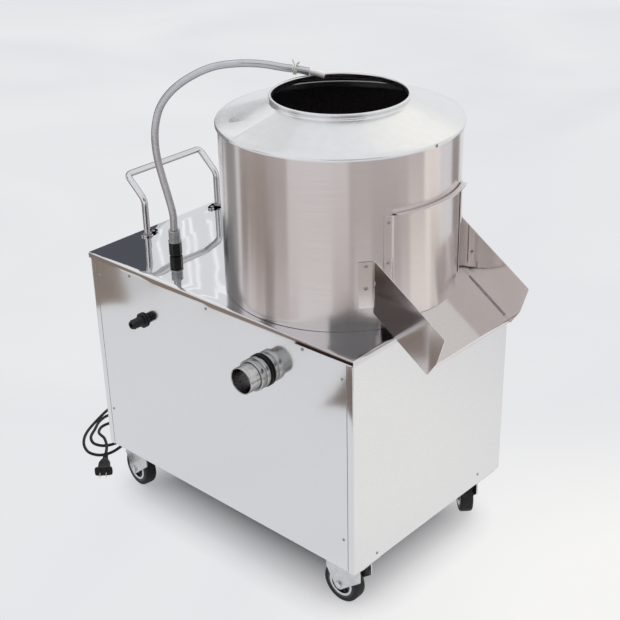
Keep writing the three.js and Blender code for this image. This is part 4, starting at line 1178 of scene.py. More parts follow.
piece("lid_lap", lap_strip(), "lid_steel", bevel=0.2)
rivet_angle = math.radians(-140.8)
rivet_way = around(0.3122, rivet_angle, 0.9500)
rivet = aimed(rivet_head(3.4, 1.8), on_cone(119.2, rivet_angle, -2.6), rivet_way)
piece("lid_rivet", rivet, "screw_steel")
skirt_screws = []
for index, degrees in enumerate([-107.6, -3.0, 101.6, 176.0]):
    angle = math.radians(degrees)
    head = pan_head(3.0, 1.6, 0.3 * index)
    skirt_screws.append(aimed(head, around(SKIRT - 0.2, angle, 797.6), around(1, angle)))
screw_set("lid_skirt_screws", skirt_screws, 0.12)
print("lid with", len(skirt_screws), "screws")

# %% [markdown]
# ## The gate and its guides
# The gate is a curved door that slides up between two guides. Its top edge is folded out
# into a lip to pull it by. The guides are strips with one edge screwed to the drum and the
# other stepped out over the door. All of them follow the drum. The door is drawn by angles
# about the drum's axis, and the guides by their distances from the middle plane.

# %% Gate door
GATE = 202.1
GATE_TOP = 706.0
GATE_HALF = math.asin(84.0 / 200.6)
LIP_BEND, LIP_END = 2.4, 211.9


def gate_door():
    """The door's rounded sheet, and its lip folded out along the top."""
    angles = [-GATE_HALF + 2 * GATE_HALF * step / 40 for step in range(41)]
    outer, inner = [], []
    for share in (0.0, 0.15, 0.3, 0.45, 0.6, 0.75, 0.88, 0.96):
        for grid, radius in ((outer, GATE), (inner, GATE - SHEET)):
            row = []
            for angle in angles:
                low = tray_height(radius * math.cos(angle)) + 1.2
                row.append(around(radius, angle, low + (GATE_TOP - 3.0 - low) * share / 0.96))
            grid.append(row)
    for step in range(1, 6):
        turn = math.pi / 10 * step
        out, down = 1 - math.cos(turn), 1 - math.sin(turn)
        for grid, radius, bend, top in (
            (outer, GATE, LIP_BEND, GATE_TOP - SHEET), (inner, GATE - SHEET, LIP_BEND + SHEET, GATE_TOP),
        ):
            grid.append([around(radius + bend * out, angle, top - bend * down) for angle in angles])
    outer.append([around(LIP_END, angle, GATE_TOP - SHEET) for angle in angles])
    inner.append([around(LIP_END, angle, GATE_TOP) for angle in angles])
    return shell(outer, inner)


piece("gate_door_sheet", gate_door(), "brushed_steel", body="gate", stands_for=["gate_door"], bevel=0.35)


# %% Guides
def bent_round(distance, radius, height, side):
    """A place at a distance across the drum's front, measured square to the middle plane."""
    return around(radius, side * math.asin(min(1.0, distance / DRUM)), height)


def gate_guide(side):
    """A strip from its screwed edge to the edge that is stepped out over the door."""
    section = [
        (99.6, 201.8), (97, 201.8), (93, 201.8), (89.5, 201.8), (88.2, 202.2), (87.2, 203.2),
        (86.2, 204.1), (84.8, 204.2), (82.5, 204.2), (80, 204.2), (78.4, 204.2),
    ]
    outer, inner = [], []
    for step in range(13):
        share = step / 12
        for grid, face in ((outer, 0.0), (inner, 1.4)):
            row = []
            for distance, radius in section:
                low = max(546.0, tray_height(radius * math.cos(math.asin(distance / DRUM))) + 1.2)
                height = low + (703.0 - low) * share
                row.append(bent_round(distance, radius - face, height, side))
            grid.append(row)
    return shell(outer, inner)


for label, side in SIDES:
    piece(
        f"gate_guide_{label}_strip", gate_guide(side), "brushed_steel",
        stands_for=[f"gate_guide_{label}"], bevel=0.3, limit=45,
    )
    screws = []
    for index, height in enumerate((692.0, 625.0, 566.0)):
        place = bent_round(93.6, 201.7, height, side)
        screws.append(aimed(pan_head(spin=0.5 + index), place, (*place[:2], 0)))
    screw_set(f"gate_guide_{label}_screws", screws)
print("gate and guides")

# %% [markdown]
# ## The chute
# A tray slopes from the drum past the front edge, between two upright guards. The tray's
# front edge is turned down so that it doesn't cut a hand. Each guard is one plate with its
# tab folded back against the drum and held by two screws, and a bead of weld joins it to
# the tray. The tray dips very slightly in the middle, which breaks up its reflections.

# %% Tray
TRAY_HALF, TRAY_BEND = 112.2, TRAY_END - 2.2


def chute_tray():
    """The sloping sheet, cut round to the drum, with its front edge turned down."""
    across = [-TRAY_HALF + 2 * TRAY_HALF * step / 30 for step in range(31)]
    outer, inner = [], []
    for share in [step / 16 for step in range(17)]:
        for grid, face in ((outer, 0.0), (inner, SHEET)):
            row = []
            for y in across:
                start = math.sqrt((DRUM + 0.35) ** 2 - y * y)
                x = start + (TRAY_BEND - start) * share
                fade = min(1.0, share / 0.2, (1 - share) / 0.2, (TRAY_HALF - abs(y)) / 20)
                row.append((x, y, tray_height(x) - face - max(0, fade) * dip(x * 2, y, 2.2, 0.5)))
            grid.append(row)
    fall, inward = tray_height(TRAY_BEND), TRAY_END - SHEET
    for x, z, x_in, z_in in (
        (TRAY_END - 1.2, 0.75, TRAY_END - 1.8, 2.0), (TRAY_END - 0.45, 1.6, inward - 0.1, 2.5),
        (TRAY_END, 3.0, inward, 3.4), (TRAY_END, 4.6, inward, 4.6), (TRAY_END, 6.2, inward, 6.2),
    ):
        outer.append([(x, y, fall - z) for y in across])
        inner.append([(x_in, y, fall - z_in) for y in across])
    return shell(outer, inner)


piece("chute_tray_sheet", chute_tray(), "guard_steel", stands_for=["chute_tray"], bevel=0.25, limit=45)


# %% Guards
def guard_outline():
    """The guard's edge in X and height, from the drum round its nose and back."""
    x0, below = math.sqrt(DRUM ** 2 - GUARD_Y ** 2), 4.5
    return rounded([
        (x0 + 0.4, tray_height(x0) - below), (TRAY_END + 1.5, tray_height(TRAY_END + 1.5) - below),
        (TRAY_END + 19.5, 495.0), (TRAY_END + 33.5, 541.0), (x0 + 3.0, 631.6), (x0 + 0.4, 632.0),
    ], 3.0, 3)


def chute_guard(side):
    """The upright plate, and the tab that lies against the drum."""
    stand = Matrix(((1, 0, 0, 0), (0, 0, side, side * (GUARD_Y - SHEET)), (0, 1, 0, 0), (0, 0, 0, 1)))
    face = moved(plate(guard_outline(), 0, SHEET), stand)
    outer, inner = [], []
    for height in [551.0 + 79.5 * step / 8 for step in range(9)]:
        for grid, radius in ((outer, 201.8), (inner, 200.35)):
            grid.append([
                bent_round(distance, radius, height, side)
                for distance in (112.9, 114.2, 116.0, 119.0, 123.0, 127.0, 130.6, 132.6)
            ])
    return join(face, shell(outer, inner))


for label, side in SIDES:
    piece(
        f"chute_guard_{label}_plate", chute_guard(side), "guard_steel",
        stands_for=[f"chute_guard_{label}"], bevel=0.35, limit=45,
    )
    screws = []
    for index, height in enumerate((624.0, 586.0)):
        place = bent_round(123.6, 201.7, height, side)
        screws.append(aimed(pan_head(3.8, 2.0, 0.4 + 0.7 * index), place, (*place[:2], 0)))
    screw_set(f"chute_tab_{label}_screws", screws, 0.12)
for label, side in SIDES:
    bead = [(x, side * 111.9, tray_height(x) + 0.9) for x in (188.0, 210.0, 235.0, 262.0)]
    piece(f"chute_weld_{label}", tube(bead, [1.0, 1.3, 1.2, 1.5], 10), "weld_steel")
print("chute done")

# %% [markdown]
# ## The push handle
# The handle is one polished rod, bent four times, on two feet screwed to the deck. The rod
# bender's tight corners are part of its look, so the path has short bends between straight
# runs. A bead of weld joins each leg to its foot.

# %% Push handle
HANDLE_X, HANDLE_BACK, HANDLE_HALF = -402.0, -446.0, 91.5
HANDLE_FOOT, HANDLE_KNEE, HANDLE_TOP = 511.6, 580.0, 619.0
HANDLE_ROD = 6.0
half_handle = [
    (HANDLE_X, HANDLE_HALF, HANDLE_FOOT), (HANDLE_X, HANDLE_HALF, HANDLE_KNEE),
    (HANDLE_BACK, HANDLE_HALF, HANDLE_TOP),
]
handle_corners = [(x, -y, z) for x, y, z in half_handle] + half_handle[::-1]
handle_path = bent_path(handle_corners, 10, 12)
piece("push_handle_rod", tube(handle_path, HANDLE_ROD, 28), "rod_steel", stands_for=["push_handle"])


def handle_foot(foot_y, tip_y, side):
    """A plate that is wide round the leg and narrow round its screw."""
    wide = [point for point in circle(12.8, 24, HANDLE_X, foot_y) if (point[1] - foot_y) * side > -5]
    wide.sort(key=lambda point: math.atan2(point[1] - foot_y, point[0] - HANDLE_X) * side)
    tip = [point for point in circle(6.4, 24, HANDLE_X, tip_y) if (point[1] - tip_y) * side < 2]
    return plate(wide + sorted(tip, key=lambda point: -point[0]), 510.4, 513.2)


for label, side in SIDES:
    foot_y = side * HANDLE_HALF
    piece(f"handle_foot_{label}", handle_foot(foot_y, side * 73.5, side), "deck_steel", bevel=0.5)
    bead = turned([(6.0, 513.0), (8.6, 513.2), (8.4, 514.3), (7.2, 515.4), (6.0, 516.0)], 28)
    piece(f"handle_weld_{label}", moved(bead, Matrix.Translation((HANDLE_X, foot_y, 0))), "weld_steel")
    screw = aimed(pan_head(3.9, 2.0, 0.6), (HANDLE_X - 0.5, side * 76.5, 513.1), (0, 0, 1))
    screw_set(f"handle_screw_{label}", [screw], 0.12)
print("the handle's rod is", round(path_length(handle_path)), "mm long")

# %% [markdown]
# ## The water hose
# A clear grey hose rises from a fitting on the deck, arches over the drum and ends in a
# short white spout at the feed opening, where a plastic tie holds it. The arch is the one
# on the drawing. The hose is smooth, so the shape needs only a fine tube, and the finish
# does the rest: pale and glossy where it faces you, with painted shade along both edges.

# %% Hose, spout and tie
HOSE_BASE = Vector((-293.6, -118.0))
RIM_ANGLE = math.radians(163)
HOSE_END = Vector(around(COLLAR, RIM_ANGLE)[:2])
HOSE_LOW, HOSE_REST = 558.9, 848.0
HOSE = 6.5
HOSE_ARCH = [
    (0, 0), (0, 0.1), (-0.02, 0.2), (-0.053, 0.33), (-0.083, 0.47), (-0.089, 0.58), (-0.075, 0.68),
    (-0.03, 0.79), (0.06, 0.885), (0.2, 0.968), (0.36, 1.025), (0.53, 1.045), (0.7, 1.042),
    (0.86, 1.02), (0.96, 1.008), (1.04, 0.995),
]
hose_points = []
for share, rise in HOSE_ARCH:
    place = HOSE_BASE.lerp(HOSE_END, share)
    hose_points.append((place.x, place.y, HOSE_LOW + (HOSE_REST - HOSE_LOW) * rise))
hose = smooth_path(hose_points, 10)
hose_way = (hose[-1] - hose[-2]).normalized()
piece("water_hose_tube", tube(hose, HOSE, 32), "hose_vinyl", stands_for=["water_hose"])

SPOUT_LONG, SPOUT_DROOP, SPOUT_SIDES = 25.5, 2.0, 28
SPOUT_SHARES = [0, 0.1, 0.2, 0.35, 0.5, 0.65, 0.8, 0.9, 0.97, 1.0]
SPOUT_SIZES = [4.6, 5.2, 5.3, 5.1, 5.0, 4.9, 4.9, 5.1, 5.3, 5.0]
spout_path = [
    hose[-1] + hose_way * (0.4 + SPOUT_LONG * share) - Vector((0, 0, SPOUT_DROOP * share ** 2))
    for share in SPOUT_SHARES
]


def spout_shape():
    """The spout with a bore at its mouth."""
    points, faces = tube(spout_path, SPOUT_SIZES, SPOUT_SIDES, caps=False)
    mouth, way = spout_path[-1], (spout_path[-1] - spout_path[-2]).normalized()
    start = len(points) - SPOUT_SIDES
    for back, share in ((0.0, 0.7), (9.0, 0.66)):
        ring = [Vector(point) for point in points[-SPOUT_SIDES:]]
        points += [tuple(mouth + (point - mouth) * share - way * back) for point in ring]
        faces += band(start, start + SPOUT_SIDES, SPOUT_SIDES)
        start += SPOUT_SIDES
    return points, faces + [tuple(range(start, start + SPOUT_SIDES)), tuple(reversed(range(SPOUT_SIDES)))]


piece("spray_nozzle_spout", spout_shape(), "white_plastic", stands_for=["spray_nozzle"])


def tie_at(back):
    """The place on the hose that far from its end, and the hose's direction there."""
    left = back
    for before, after in zip(reversed(hose[:-1]), reversed(hose)):
        step = (after - before).length
        if left <= step:
            return after.lerp(before, left / step), (after - before).normalized()
        left -= step
    return hose[0], hose_way


TIE, TIE_COIL, TIE_TURNS = 1.5, 8.2, 2


def tie_shape():
    """Two turns of soft tie round the hose, twisted into two short tails."""
    place, way = tie_at(25)
    side = way.cross(Vector((0, 0, 1))).normalized()
    upward = side.cross(way).normalized()
    turns = []
    for share in [step / 72 for step in range(73)]:
        angle = 2 * math.pi * TIE_TURNS * share
        out = side * math.cos(angle) + upward * math.sin(angle)
        turns.append(place + way * (6.4 * share - 3.2) + TIE_COIL * out)
    tails = []
    for lean, length in ((-0.7, 7), (1.0, 6)):
        start = place + upward * 8.0 + way * lean * 2
        path = [start + (upward * share + way * lean * share * 0.8 + side * lean * share ** 2 * 0.5) * length
                for share in (0, 0.25, 0.5, 0.75, 1.0)]
        tails.append(tube(path, [1.7, 1.6, 1.5, 1.4, 1.1], 12))
    knot_path = [place + upward * (6.4 + 4.0 * share) for share in (0, 0.3, 0.7, 1)]
    return join(tube(turns, TIE, 12), *tails, tube(knot_path, [2.0, 2.6, 2.5, 1.6], 14))


piece("hose_tie", tie_shape(), "white_plastic", stands_for=["hose_clip"])
print("hose", round(path_length(hose)), "mm")

# %% Hose fitting on the deck
def hose_fitting():
    """A black hexagon nut, a bright ring and a ferrule rolled onto the hose."""
    base = Matrix.Translation((HOSE_BASE.x, HOSE_BASE.y, 0))
    nut = turned([
        (0, 510.5), (11.2, 510.5), (12.0, 511.3), (12.0, 534.3), (11.0, 535.3), (0, 535.3),
    ], 6)
    ring = turned([
        (0, 535.6), (11.6, 535.6), (12.0, 536.0), (12.0, 538.2), (11.6, 538.6), (10.4, 538.8),
        (10.5, 540.6), (10.0, 541.2), (10.0, 543.4), (10.5, 544.0), (10.5, 551.0), (10.0, 551.6),
        (10.0, 553.6), (10.4, 554.2), (10.4, 557.6), (9.8, 558.5), (8.3, 558.6), (0, 558.6),
    ], 48)
    return moved(nut, base), moved(ring, base)


nut_shape, sleeve_shape = hose_fitting()
piece("hose_nut_hex", nut_shape, "black_plastic", stands_for=["hose_nut"], bevel=0.4)
piece("hose_sleeve_ferrule", sleeve_shape, "dull_steel", stands_for=["hose_sleeve"], bevel=0.2)
print("fitting on the deck")

# %% [markdown]
# ## Water in, water out
# Cold water comes in through a barbed black fitting, and peel leaves through a steel pipe.
# Both stand out from the near side panel. Turned parts are drawn on the Z axis and then
# laid down so that they point out of the panel.

# %% Inlet and drain
INLET_X, INLET_Z = -289.0, 415.0
DRAIN_X, DRAIN_Z = 8.0, 422.0


def out_of_side(shape, x, z):
    """Lays a turned part down so that its height runs out of the near side."""
    return moved(shape, Matrix.Translation((x, 0, z)) @ Matrix.Rotation(math.pi / 2, 4, "X"))


inlet_profile = [(0, 210.6), (13.6, 210.6), (14.0, 211.0), (14.0, 213.6), (13.4, 214.4), (8.6, 214.5)]
for ridge in range(4):
    start = 216.5 + ridge * 5.2
    inlet_profile += [(7.4, start), (7.4, start + 0.8), (9.2, start + 1.0)]
    inlet_profile += [(9.3, start + 1.6), (7.7, start + 4.6)]
inlet_profile += [(7.2, 238.2), (6.6, 238.5), (4.4, 238.5), (4.0, 238.0), (4.0, 216.0), (0, 216.0)]
inlet_shape = out_of_side(turned(inlet_profile, 48), INLET_X, INLET_Z)
piece("inlet_fitting_barb", inlet_shape, "black_plastic", stands_for=["inlet_fitting"], bevel=0.15)

PAN_WALL = 196.4
DRAIN_RINGS = {
    "drain_pipe": [
        (23.5, 100.5), (23.5, 258.6), (23.1, 259.1), (22.0, 259.2), (21.6, 258.8), (21.5, 258.0),
        (21.5, 100.5),
    ],
    "drain_sleeve": [
        (24.0, 215.0), (27.0, 215.0), (27.5, 215.5), (27.5, 223.0), (26.9, 223.6), (26.9, 224.6),
        (27.5, 225.2), (27.5, 235.8), (26.9, 236.6), (25.4, 236.8), (24.0, 236.4),
    ],
    "drain_gasket": [
        (24.0, 210.6), (28.4, 210.6), (29.0, 211.4), (29.0, 213.6), (28.4, 214.4), (24.0, 214.4),
    ],
}


def cut_to_pan(shape):
    """The pipe's inner end follows the round wall of the waste pan."""
    points, faces = shape
    fitted = []
    for x, y, z in points:
        wall = math.sqrt(max(0.0, PAN_WALL ** 2 - (x + DRAIN_X) ** 2))
        fitted.append((x, y, max(z, wall)))
    return fitted, faces


for name, ending, look in (
    ("drain_pipe", "tube", "drain_steel"), ("drain_sleeve", "ring", "drain_steel"),
    ("drain_gasket", "ring", "black_rubber"),
):
    shape = turned(DRAIN_RINGS[name], 72, closed=True)
    if name == "drain_pipe":
        shape = cut_to_pan(shape)
    piece(f"{name}_{ending}", out_of_side(shape, DRAIN_X, DRAIN_Z), look, stands_for=[name], sharp=50)
print("inlet and drain")

# %% [markdown]
# ## Casters
# Each caster is a plate bolted under the frame, a pressed fork that swivels below it on a
# race of balls, and a wheel between the fork's cheeks. All four are the same part, turned
# by hand to different bearings, so each is drawn once about its own swivel axis and set
# down four times. Fork and wheel ride on bodies of their own.

# %% Caster parts
CASTERS = [
    ("front_near", 159.0, -170.0, 180.0), ("front_far", 159.0, 170.0, 135.0),
    ("rear_near", -379.0, -170.0, 172.0), ("rear_far", -379.0, 170.0, 205.0),
]
TRAIL = 10.0


def caster_plate_shape():
    """The mounting plate with its four slots' bolts, and the race with its dust lip."""
    outline = rounded([(-45, -33), (45, -33), (45, 33), (-45, 33)], 6, 4)
    top = plate(outline, 97.2, 99.7)
    race = turned([
        (0, 97.3), (20, 97.3), (24.5, 96.8), (26.6, 95.6), (27, 94.0), (27, 92.0), (26.2, 91.0),
        (23.5, 90.4), (0, 90.3),
    ], 48)
    bolts = [
        aimed(hex_head(4.6, 3.2, 6.4), (x, y, 97.2), (0, 0, -1), 0.3 * x + y)
        for x in (-37, 37) for y in (-25, 25)
    ]
    return join(top, race, *bolts)


FORK_INSIDE, FORK_SHEET, FORK_TOP = 14.0, 2.5, 89.9
FORK_HALF, FORK_BEND = 36.5, 3.4


def fork_shape():
    """The crown and two cheeks, pressed from one sheet: wide at the crown, narrow at the axle."""
    outside, bend_foot = FORK_INSIDE + FORK_SHEET, FORK_TOP - FORK_BEND
    toe = []
    for step in range(13):
        angle = math.pi * (-0.82 + 0.64 * step / 12)
        toe.append((TRAIL + 10 * math.cos(angle), WHEEL + 10 * math.sin(angle)))
    cheek = toe + [(37.6, 64.4), (37.8, 80.0), (36.5, 86.5), (-36.5, 86.5), (-37.8, 80.0), (-37.6, 64.4)]
    bend = [(outside, bend_foot - 0.1)]
    for step in range(6):
        angle = math.pi / 2 * step / 5
        bend.append((outside - FORK_BEND * (1 - math.cos(angle)), bend_foot + FORK_BEND * math.sin(angle)))
    bend.append((FORK_INSIDE - FORK_BEND, FORK_TOP))
    back = []
    for index, (y, z) in enumerate(bend):
        back.append((y - 2.4 if index < 4 else y, z if index < 3 else z - 2.4))
    shapes = []
    for side in (-1, 1):
        start = FORK_INSIDE if side > 0 else -outside
        stand = Matrix(((1, 0, 0, 0), (0, 0, 1, start), (0, 1, 0, 0), (0, 0, 0, 1)))
        shapes.append(moved(plate(cheek, 0, FORK_SHEET), stand))
        outer, inner = (
            [[(x, side * y, z) for y, z in line] for x in (-FORK_HALF, 0, FORK_HALF)] for line in (bend, back)
        )
        shapes.append(shell(outer, inner))
    crown = rounded([(-37.8, -10.8), (37.8, -10.8), (37.8, 10.8), (-37.8, 10.8)], 3, 3)
    race = turned([(0, 90.2), (22, 90.2), (23.4, 89.6), (23.8, 88.6), (0, 88.6)], 40)
    shapes += [plate(crown, FORK_TOP - FORK_SHEET, FORK_TOP), race]
    for side in (-1, 1):
        head = hex_head(6.6, 3.4, 8.6) if side < 0 else hex_head(7.0, 3.9)
        shapes.append(aimed(head, (TRAIL, side * (outside - 0.1), WHEEL), (0, side, 0), 0.4))
    bolt = turned([(0, -17), (4, -17), (4, 17), (0, 17)], 24)
    shapes.append(aimed(bolt, (TRAIL, 0, WHEEL), (0, 1, 0)))
    return join(*shapes)


def wheel_tread():
    """The tyre: a slightly crowned tread with rounded shoulders."""
    profile = [
        (29.6, -11.9), (33.5, -11.9), (35.6, -11.4), (36.9, -9.9), (37.4, -7.6), (37.5, -4), (37.5, 4),
        (37.4, 7.6), (36.9, 9.9), (35.6, 11.4), (33.5, 11.9), (29.6, 11.9),
    ]
    return turned(profile, 72, closed=True)


def wheel_core():
    """The hub with a raised rim ring, a dished web and spokes, and a bored boss."""
    half = [
        (29.5, 11.6), (28.6, 12.0), (26.6, 12.0), (25.8, 11.4), (25.4, 8.4), (24.6, 7.4), (14.4, 7.0),
        (12.6, 7.6), (12.0, 8.6), (12.0, 12.9), (11.4, 13.4), (5.4, 13.4), (4.4, 12.9),
    ]
    profile = half + [(radius, -height) for radius, height in reversed(half)]
    core = turned(profile, 72, closed=True)
    ribs = []
    for index in range(6):
        turn = Matrix.Rotation(math.pi / 3 * index, 4, "Z")
        for side in (-1, 1):
            z0, z1 = sorted((side * 6.4, side * 9.6))
            ribs.append(moved(brick(12.0, 25.6, -1.1, 1.1, z0, z1), turn))
    return join(core, *ribs)


def wheel_ring():
    """The bright dust cap ring on each face of the wheel."""
    ring = turned([
        (20.2, 9.9), (24.9, 9.9), (25.3, 10.4), (25.2, 11.6), (24.4, 12.2), (21.0, 12.2), (20.2, 11.4),
    ], 60, closed=True)
    return join(*(moved(ring, Matrix.Scale(side, 4, (0, 0, 1))) for side in (-1, 1)))


def on_axle(shape):
    """Lays a turned wheel part down on the axle."""
    return moved(shape, Matrix.Translation((TRAIL, 0, WHEEL)) @ Matrix.Rotation(math.pi / 2, 4, "X"))


for label, x, y, bearing in CASTERS:
    stand = Matrix.Translation((x, y, 0))
    swivel = stand @ Matrix.Rotation(math.radians(bearing), 4, "Z")
    fork, wheel = f"caster_{label}_fork", f"caster_{label}_wheel"
    wheel_shapes = (wheel_tread(), wheel_core(), wheel_ring())
    tread, core, cap = (moved(on_axle(shape), swivel) for shape in wheel_shapes)
    piece(
        f"caster_{label}_mount", moved(caster_plate_shape(), stand), "zinc_steel",
        stands_for=[f"caster_{label}_plate"], bevel=0.3,
    )
    cheeks = moved(fork_shape(), swivel)
    piece(f"caster_{label}_cheeks", cheeks, "zinc_steel", body=fork, stands_for=[fork], bevel=0.4)
    piece(f"caster_{label}_tread", tread, "tread_rubber", body=wheel, stands_for=[wheel], sharp=50)
    piece(f"caster_{label}_core", core, "wheel_core", body=wheel, bevel=0.2)
    piece(f"caster_{label}_cap", cap, "zinc_steel", body=wheel, sharp=50)
print("casters:", len(CASTERS))

# %% [markdown]
# ## The switch and the cord gland
# The rear face carries a start and a stop button in a black box, and the gland that the
# lead comes through. The photograph doesn't show this side, so they follow what such a
# machine has. Each button is a cap with a finger dish, and travels into its own bore.

# %% Switch box
SWITCH_Y, SWITCH_Z = 95.0, 415.0
BUTTON_STEP, BUTTON_HOLE = 24, 12.5
FACE_X = -425.5


def out_of_rear(shape, y, z):
    """Lays a turned part down so that its height runs out of the rear face."""
    return moved(shape, Matrix.Translation((FACE_X, y, z)) @ Matrix.Rotation(-math.pi / 2, 4, "Y"))


def switch_frame():
    """The bezel is a plate with two round holes, drawn as two halves that meet in the middle."""
    halves = []
    for place in (-1, 1):
        low, high = sorted((SWITCH_Z, SWITCH_Z + place * 63))
        outline = along_outline([(-38, low), (38, low), (38, high), (-38, high)], 16)
        middle = SWITCH_Z + place * BUTTON_STEP
        hole = []
        for across, up in outline:
            angle = math.atan2(up - middle, across)
            hole.append((BUTTON_HOLE * math.cos(angle), middle + BUTTON_HOLE * math.sin(angle)))
        halves.append(holed(outline, hole, 0, 2.0))
    stand = Matrix(((0, 0, -1, FACE_X), (1, 0, 0, SWITCH_Y), (0, 1, 0, 0), (0, 0, 0, 1)))
    return moved(join(*halves), stand)


def switch_body():
    """The box behind the panel, with a well behind each button."""
    shapes = []
    for x0, x1, y0, y1, z0, z1 in (
        (18, 38, -31, 31, -56, 56), (0.1, 18, -31, -29, -56, 56), (0.1, 18, 29, 31, -56, 56),
        (0.1, 18, -29, 29, -56, -54), (0.1, 18, -29, 29, 54, 56),
    ):
        wall = brick(FACE_X + x0, FACE_X + x1, y0, y1, z0, z1)
        shapes.append(moved(wall, Matrix.Translation((0, SWITCH_Y, SWITCH_Z))))
    for place in (-1, 1):
        well = turned([
            (BUTTON_HOLE, -18), (BUTTON_HOLE + 2, -18), (BUTTON_HOLE + 2, -0.1), (BUTTON_HOLE, -0.1),
        ], 48, closed=True)
        shapes.append(out_of_rear(well, SWITCH_Y, SWITCH_Z + place * BUTTON_STEP))
    return join(*shapes)


piece("switch_box_bezel", switch_frame(), "black_plastic", stands_for=["switch_box"], bevel=0.4)
piece("switch_box_body", switch_body(), "black_plastic", bevel=0.3)
collar = turned([
    (12.7, 1.9), (15.4, 1.9), (15.8, 2.3), (15.4, 3.0), (14.0, 3.3), (12.9, 3.1),
], 48, closed=True)
collars = [out_of_rear(collar, SWITCH_Y, SWITCH_Z + place * BUTTON_STEP) for place in (-1, 1)]
piece("switch_collars", join(*collars), "zinc_steel", sharp=60)
screw_set("switch_screws", [
    aimed(pan_head(2.6, 1.4, 0.7 * index), (FACE_X - 1.9, SWITCH_Y + y, SWITCH_Z + z), (-1, 0, 0))
    for index, (y, z) in enumerate(((-32, -57), (32, -57), (-32, 57), (32, 57)))
])
cap_shape = turned([
    (0, -9.0), (11.6, -9.0), (11.8, -8.6), (11.8, 6.3), (11.3, 7.4), (10.2, 8.0), (8.6, 7.9),
    (5.0, 7.2), (0, 6.9),
], 48)
for label, place, look in (("start", 1, "green_plastic"), ("stop", -1, "red_plastic")):
    button = f"{label}_button"
    cap = out_of_rear(cap_shape, SWITCH_Y, SWITCH_Z + place * BUTTON_STEP)
    piece(f"{button}_cap", cap, look, body=button, stands_for=[button], sharp=50)
print("switch with two buttons")

# %% Cord gland
nut_profile = [(0, 0.3), (11.2, 0.3), (11.9, 1.1), (11.9, 8.2), (11.0, 9.2), (0, 9.2)]
relief = [(0, 8.0), (7.0, 8.9)]
for rib in range(7):
    start = 11.0 + rib * 4.1
    size = 7.3 - 0.42 * rib
    relief += [(size, start), (size, start + 2.3), (size - 1.3, start + 2.7), (size - 1.3, start + 3.7)]
relief += [(4.4, 40.0), (4.3, 40.8), (3.2, 41.0), (0, 41.0)]
throat = turned([(0, -5.5), (7.3, -5.5), (7.3, 0.4), (0, 0.4)], 36)
gland = out_of_rear(join(throat, turned(nut_profile, 6), turned(relief, 36)), 95.0, 320.0)
piece("cord_gland_relief", gland, "black_rubber", stands_for=["cord_gland"], bevel=0.2)
print("gland")

# %% [markdown]
# ## Inside the drum
# Looking down through the feed opening you see the rough liner, the disc with its three
# ridges and the round nut that holds it. The grit has real relief: the liner's face and the
# disc's face are fine grids whose points are pushed about at random by up to a millimetre,
# always from the same seed, and the finish adds the smallest grains.

# %% Rough surfaces
LINER_IN, LINER_OUT, LINER_TOP = 191.7, 198.2, 789.8
DISC_RADIUS, DISC_BORE, DISC_LOW, DISC_HIGH = 187.0, 13.2, 512.5, 518.5
RIDGE_HIGH, RIDGE_HALF = 10.6, 16


def liner_face(radius, rough, chance):
    """The drum's own grid at one of the liner's faces, each place pushed out by chance."""
    grid = []
    for ring in drum_grid(DRUM):
        row = []
        for (_, _, z), angle in zip(ring, drum_angles):
            true = radius + (chance.uniform(0.0, rough) if rough else 0)
            row.append(around(true, angle, min(z, LINER_TOP)))
        grid.append(row)
    return grid


liner_chance = random.Random(7)
liner_faces = [liner_face(LINER_OUT, 0, liner_chance), liner_face(LINER_IN, 0.9, liner_chance)]
liner_shape = shell(*liner_faces, is_sheet, loop=True)
piece("abrasive_liner_coat", liner_shape, "liner_grit", stands_for=["abrasive_liner"], sharp=180)


def ridge_rise(x, y):
    """How high one of the disc's three ridges stands at a place."""
    rise = 0.0
    for arm in range(3):
        bearing = math.pi / 2 + 2 * math.pi * arm / 3
        along = x * math.cos(bearing) + y * math.sin(bearing)
        across = abs(-x * math.sin(bearing) + y * math.cos(bearing))
        ends = max(0.0, min(1.0, (along - 42) / 8, (168 - along) / 8))
        rise = max(rise, ends * RIDGE_HIGH * max(0.0, 1 - (across / RIDGE_HALF) ** 1.3))
    return rise


def abrasive_disc():
    """A grit-coated disc with three ridges, a hub below and two sweeping paddles."""
    chance = random.Random(11)
    sides, rings = 180, 34
    points, faces = [], []
    for ring in range(rings + 1):
        radius = DISC_BORE + (DISC_RADIUS - 0.8 - DISC_BORE) * ring / rings
        for index in range(sides):
            x, y, _ = around(radius, 2 * math.pi * index / sides)
            rough = chance.uniform(-0.8, 0.0) if 36 < radius < 180 else -0.2
            points.append((x, y, DISC_HIGH + ridge_rise(x, y) + rough))
    for radius, height in (
        (DISC_RADIUS, 517.4), (DISC_RADIUS, 513.2), (DISC_RADIUS - 0.8, DISC_LOW), (34.0, DISC_LOW),
        (34.0, 486.6), (DISC_BORE, 486.6),
    ):
        points += [around(radius, 2 * math.pi * index / sides, height) for index in range(sides)]
    levels = range(0, len(points), sides)
    for low, high in zip(levels, [*levels[1:], 0]):
        faces += band(low, high, sides)
    paddles = [brick(-2, 2, *sorted((side * 30, side * 149)), 496.7, 513.0) for side in (-1, 1)]
    return join((points, faces), *paddles)


piece(
    "abrasive_disc_coat", abrasive_disc(), "disc_grit", body="peeling_disc",
    stands_for=["abrasive_disc"], sharp=50,
)
nut_dome = turned([
    (0, 535.7), (5, 535.6), (9, 534.9), (13, 533.2), (16.5, 530.4), (18.9, 527.0), (19.8, 524.6),
    (20, 523.8), (20, 519.6), (19.2, 518.8), (0, 518.8),
], 48)
flats = [brick(*sorted((side * 19.5, side * 16.4)), -4, 4, 519.5, 526.5) for side in (-1, 1)]
piece(
    "disc_nut_dome", join(nut_dome, *flats), "brushed_steel", body="peeling_disc",
    stands_for=["disc_nut"], bevel=0.3, limit=45,
)
print("disc, nut and liner")

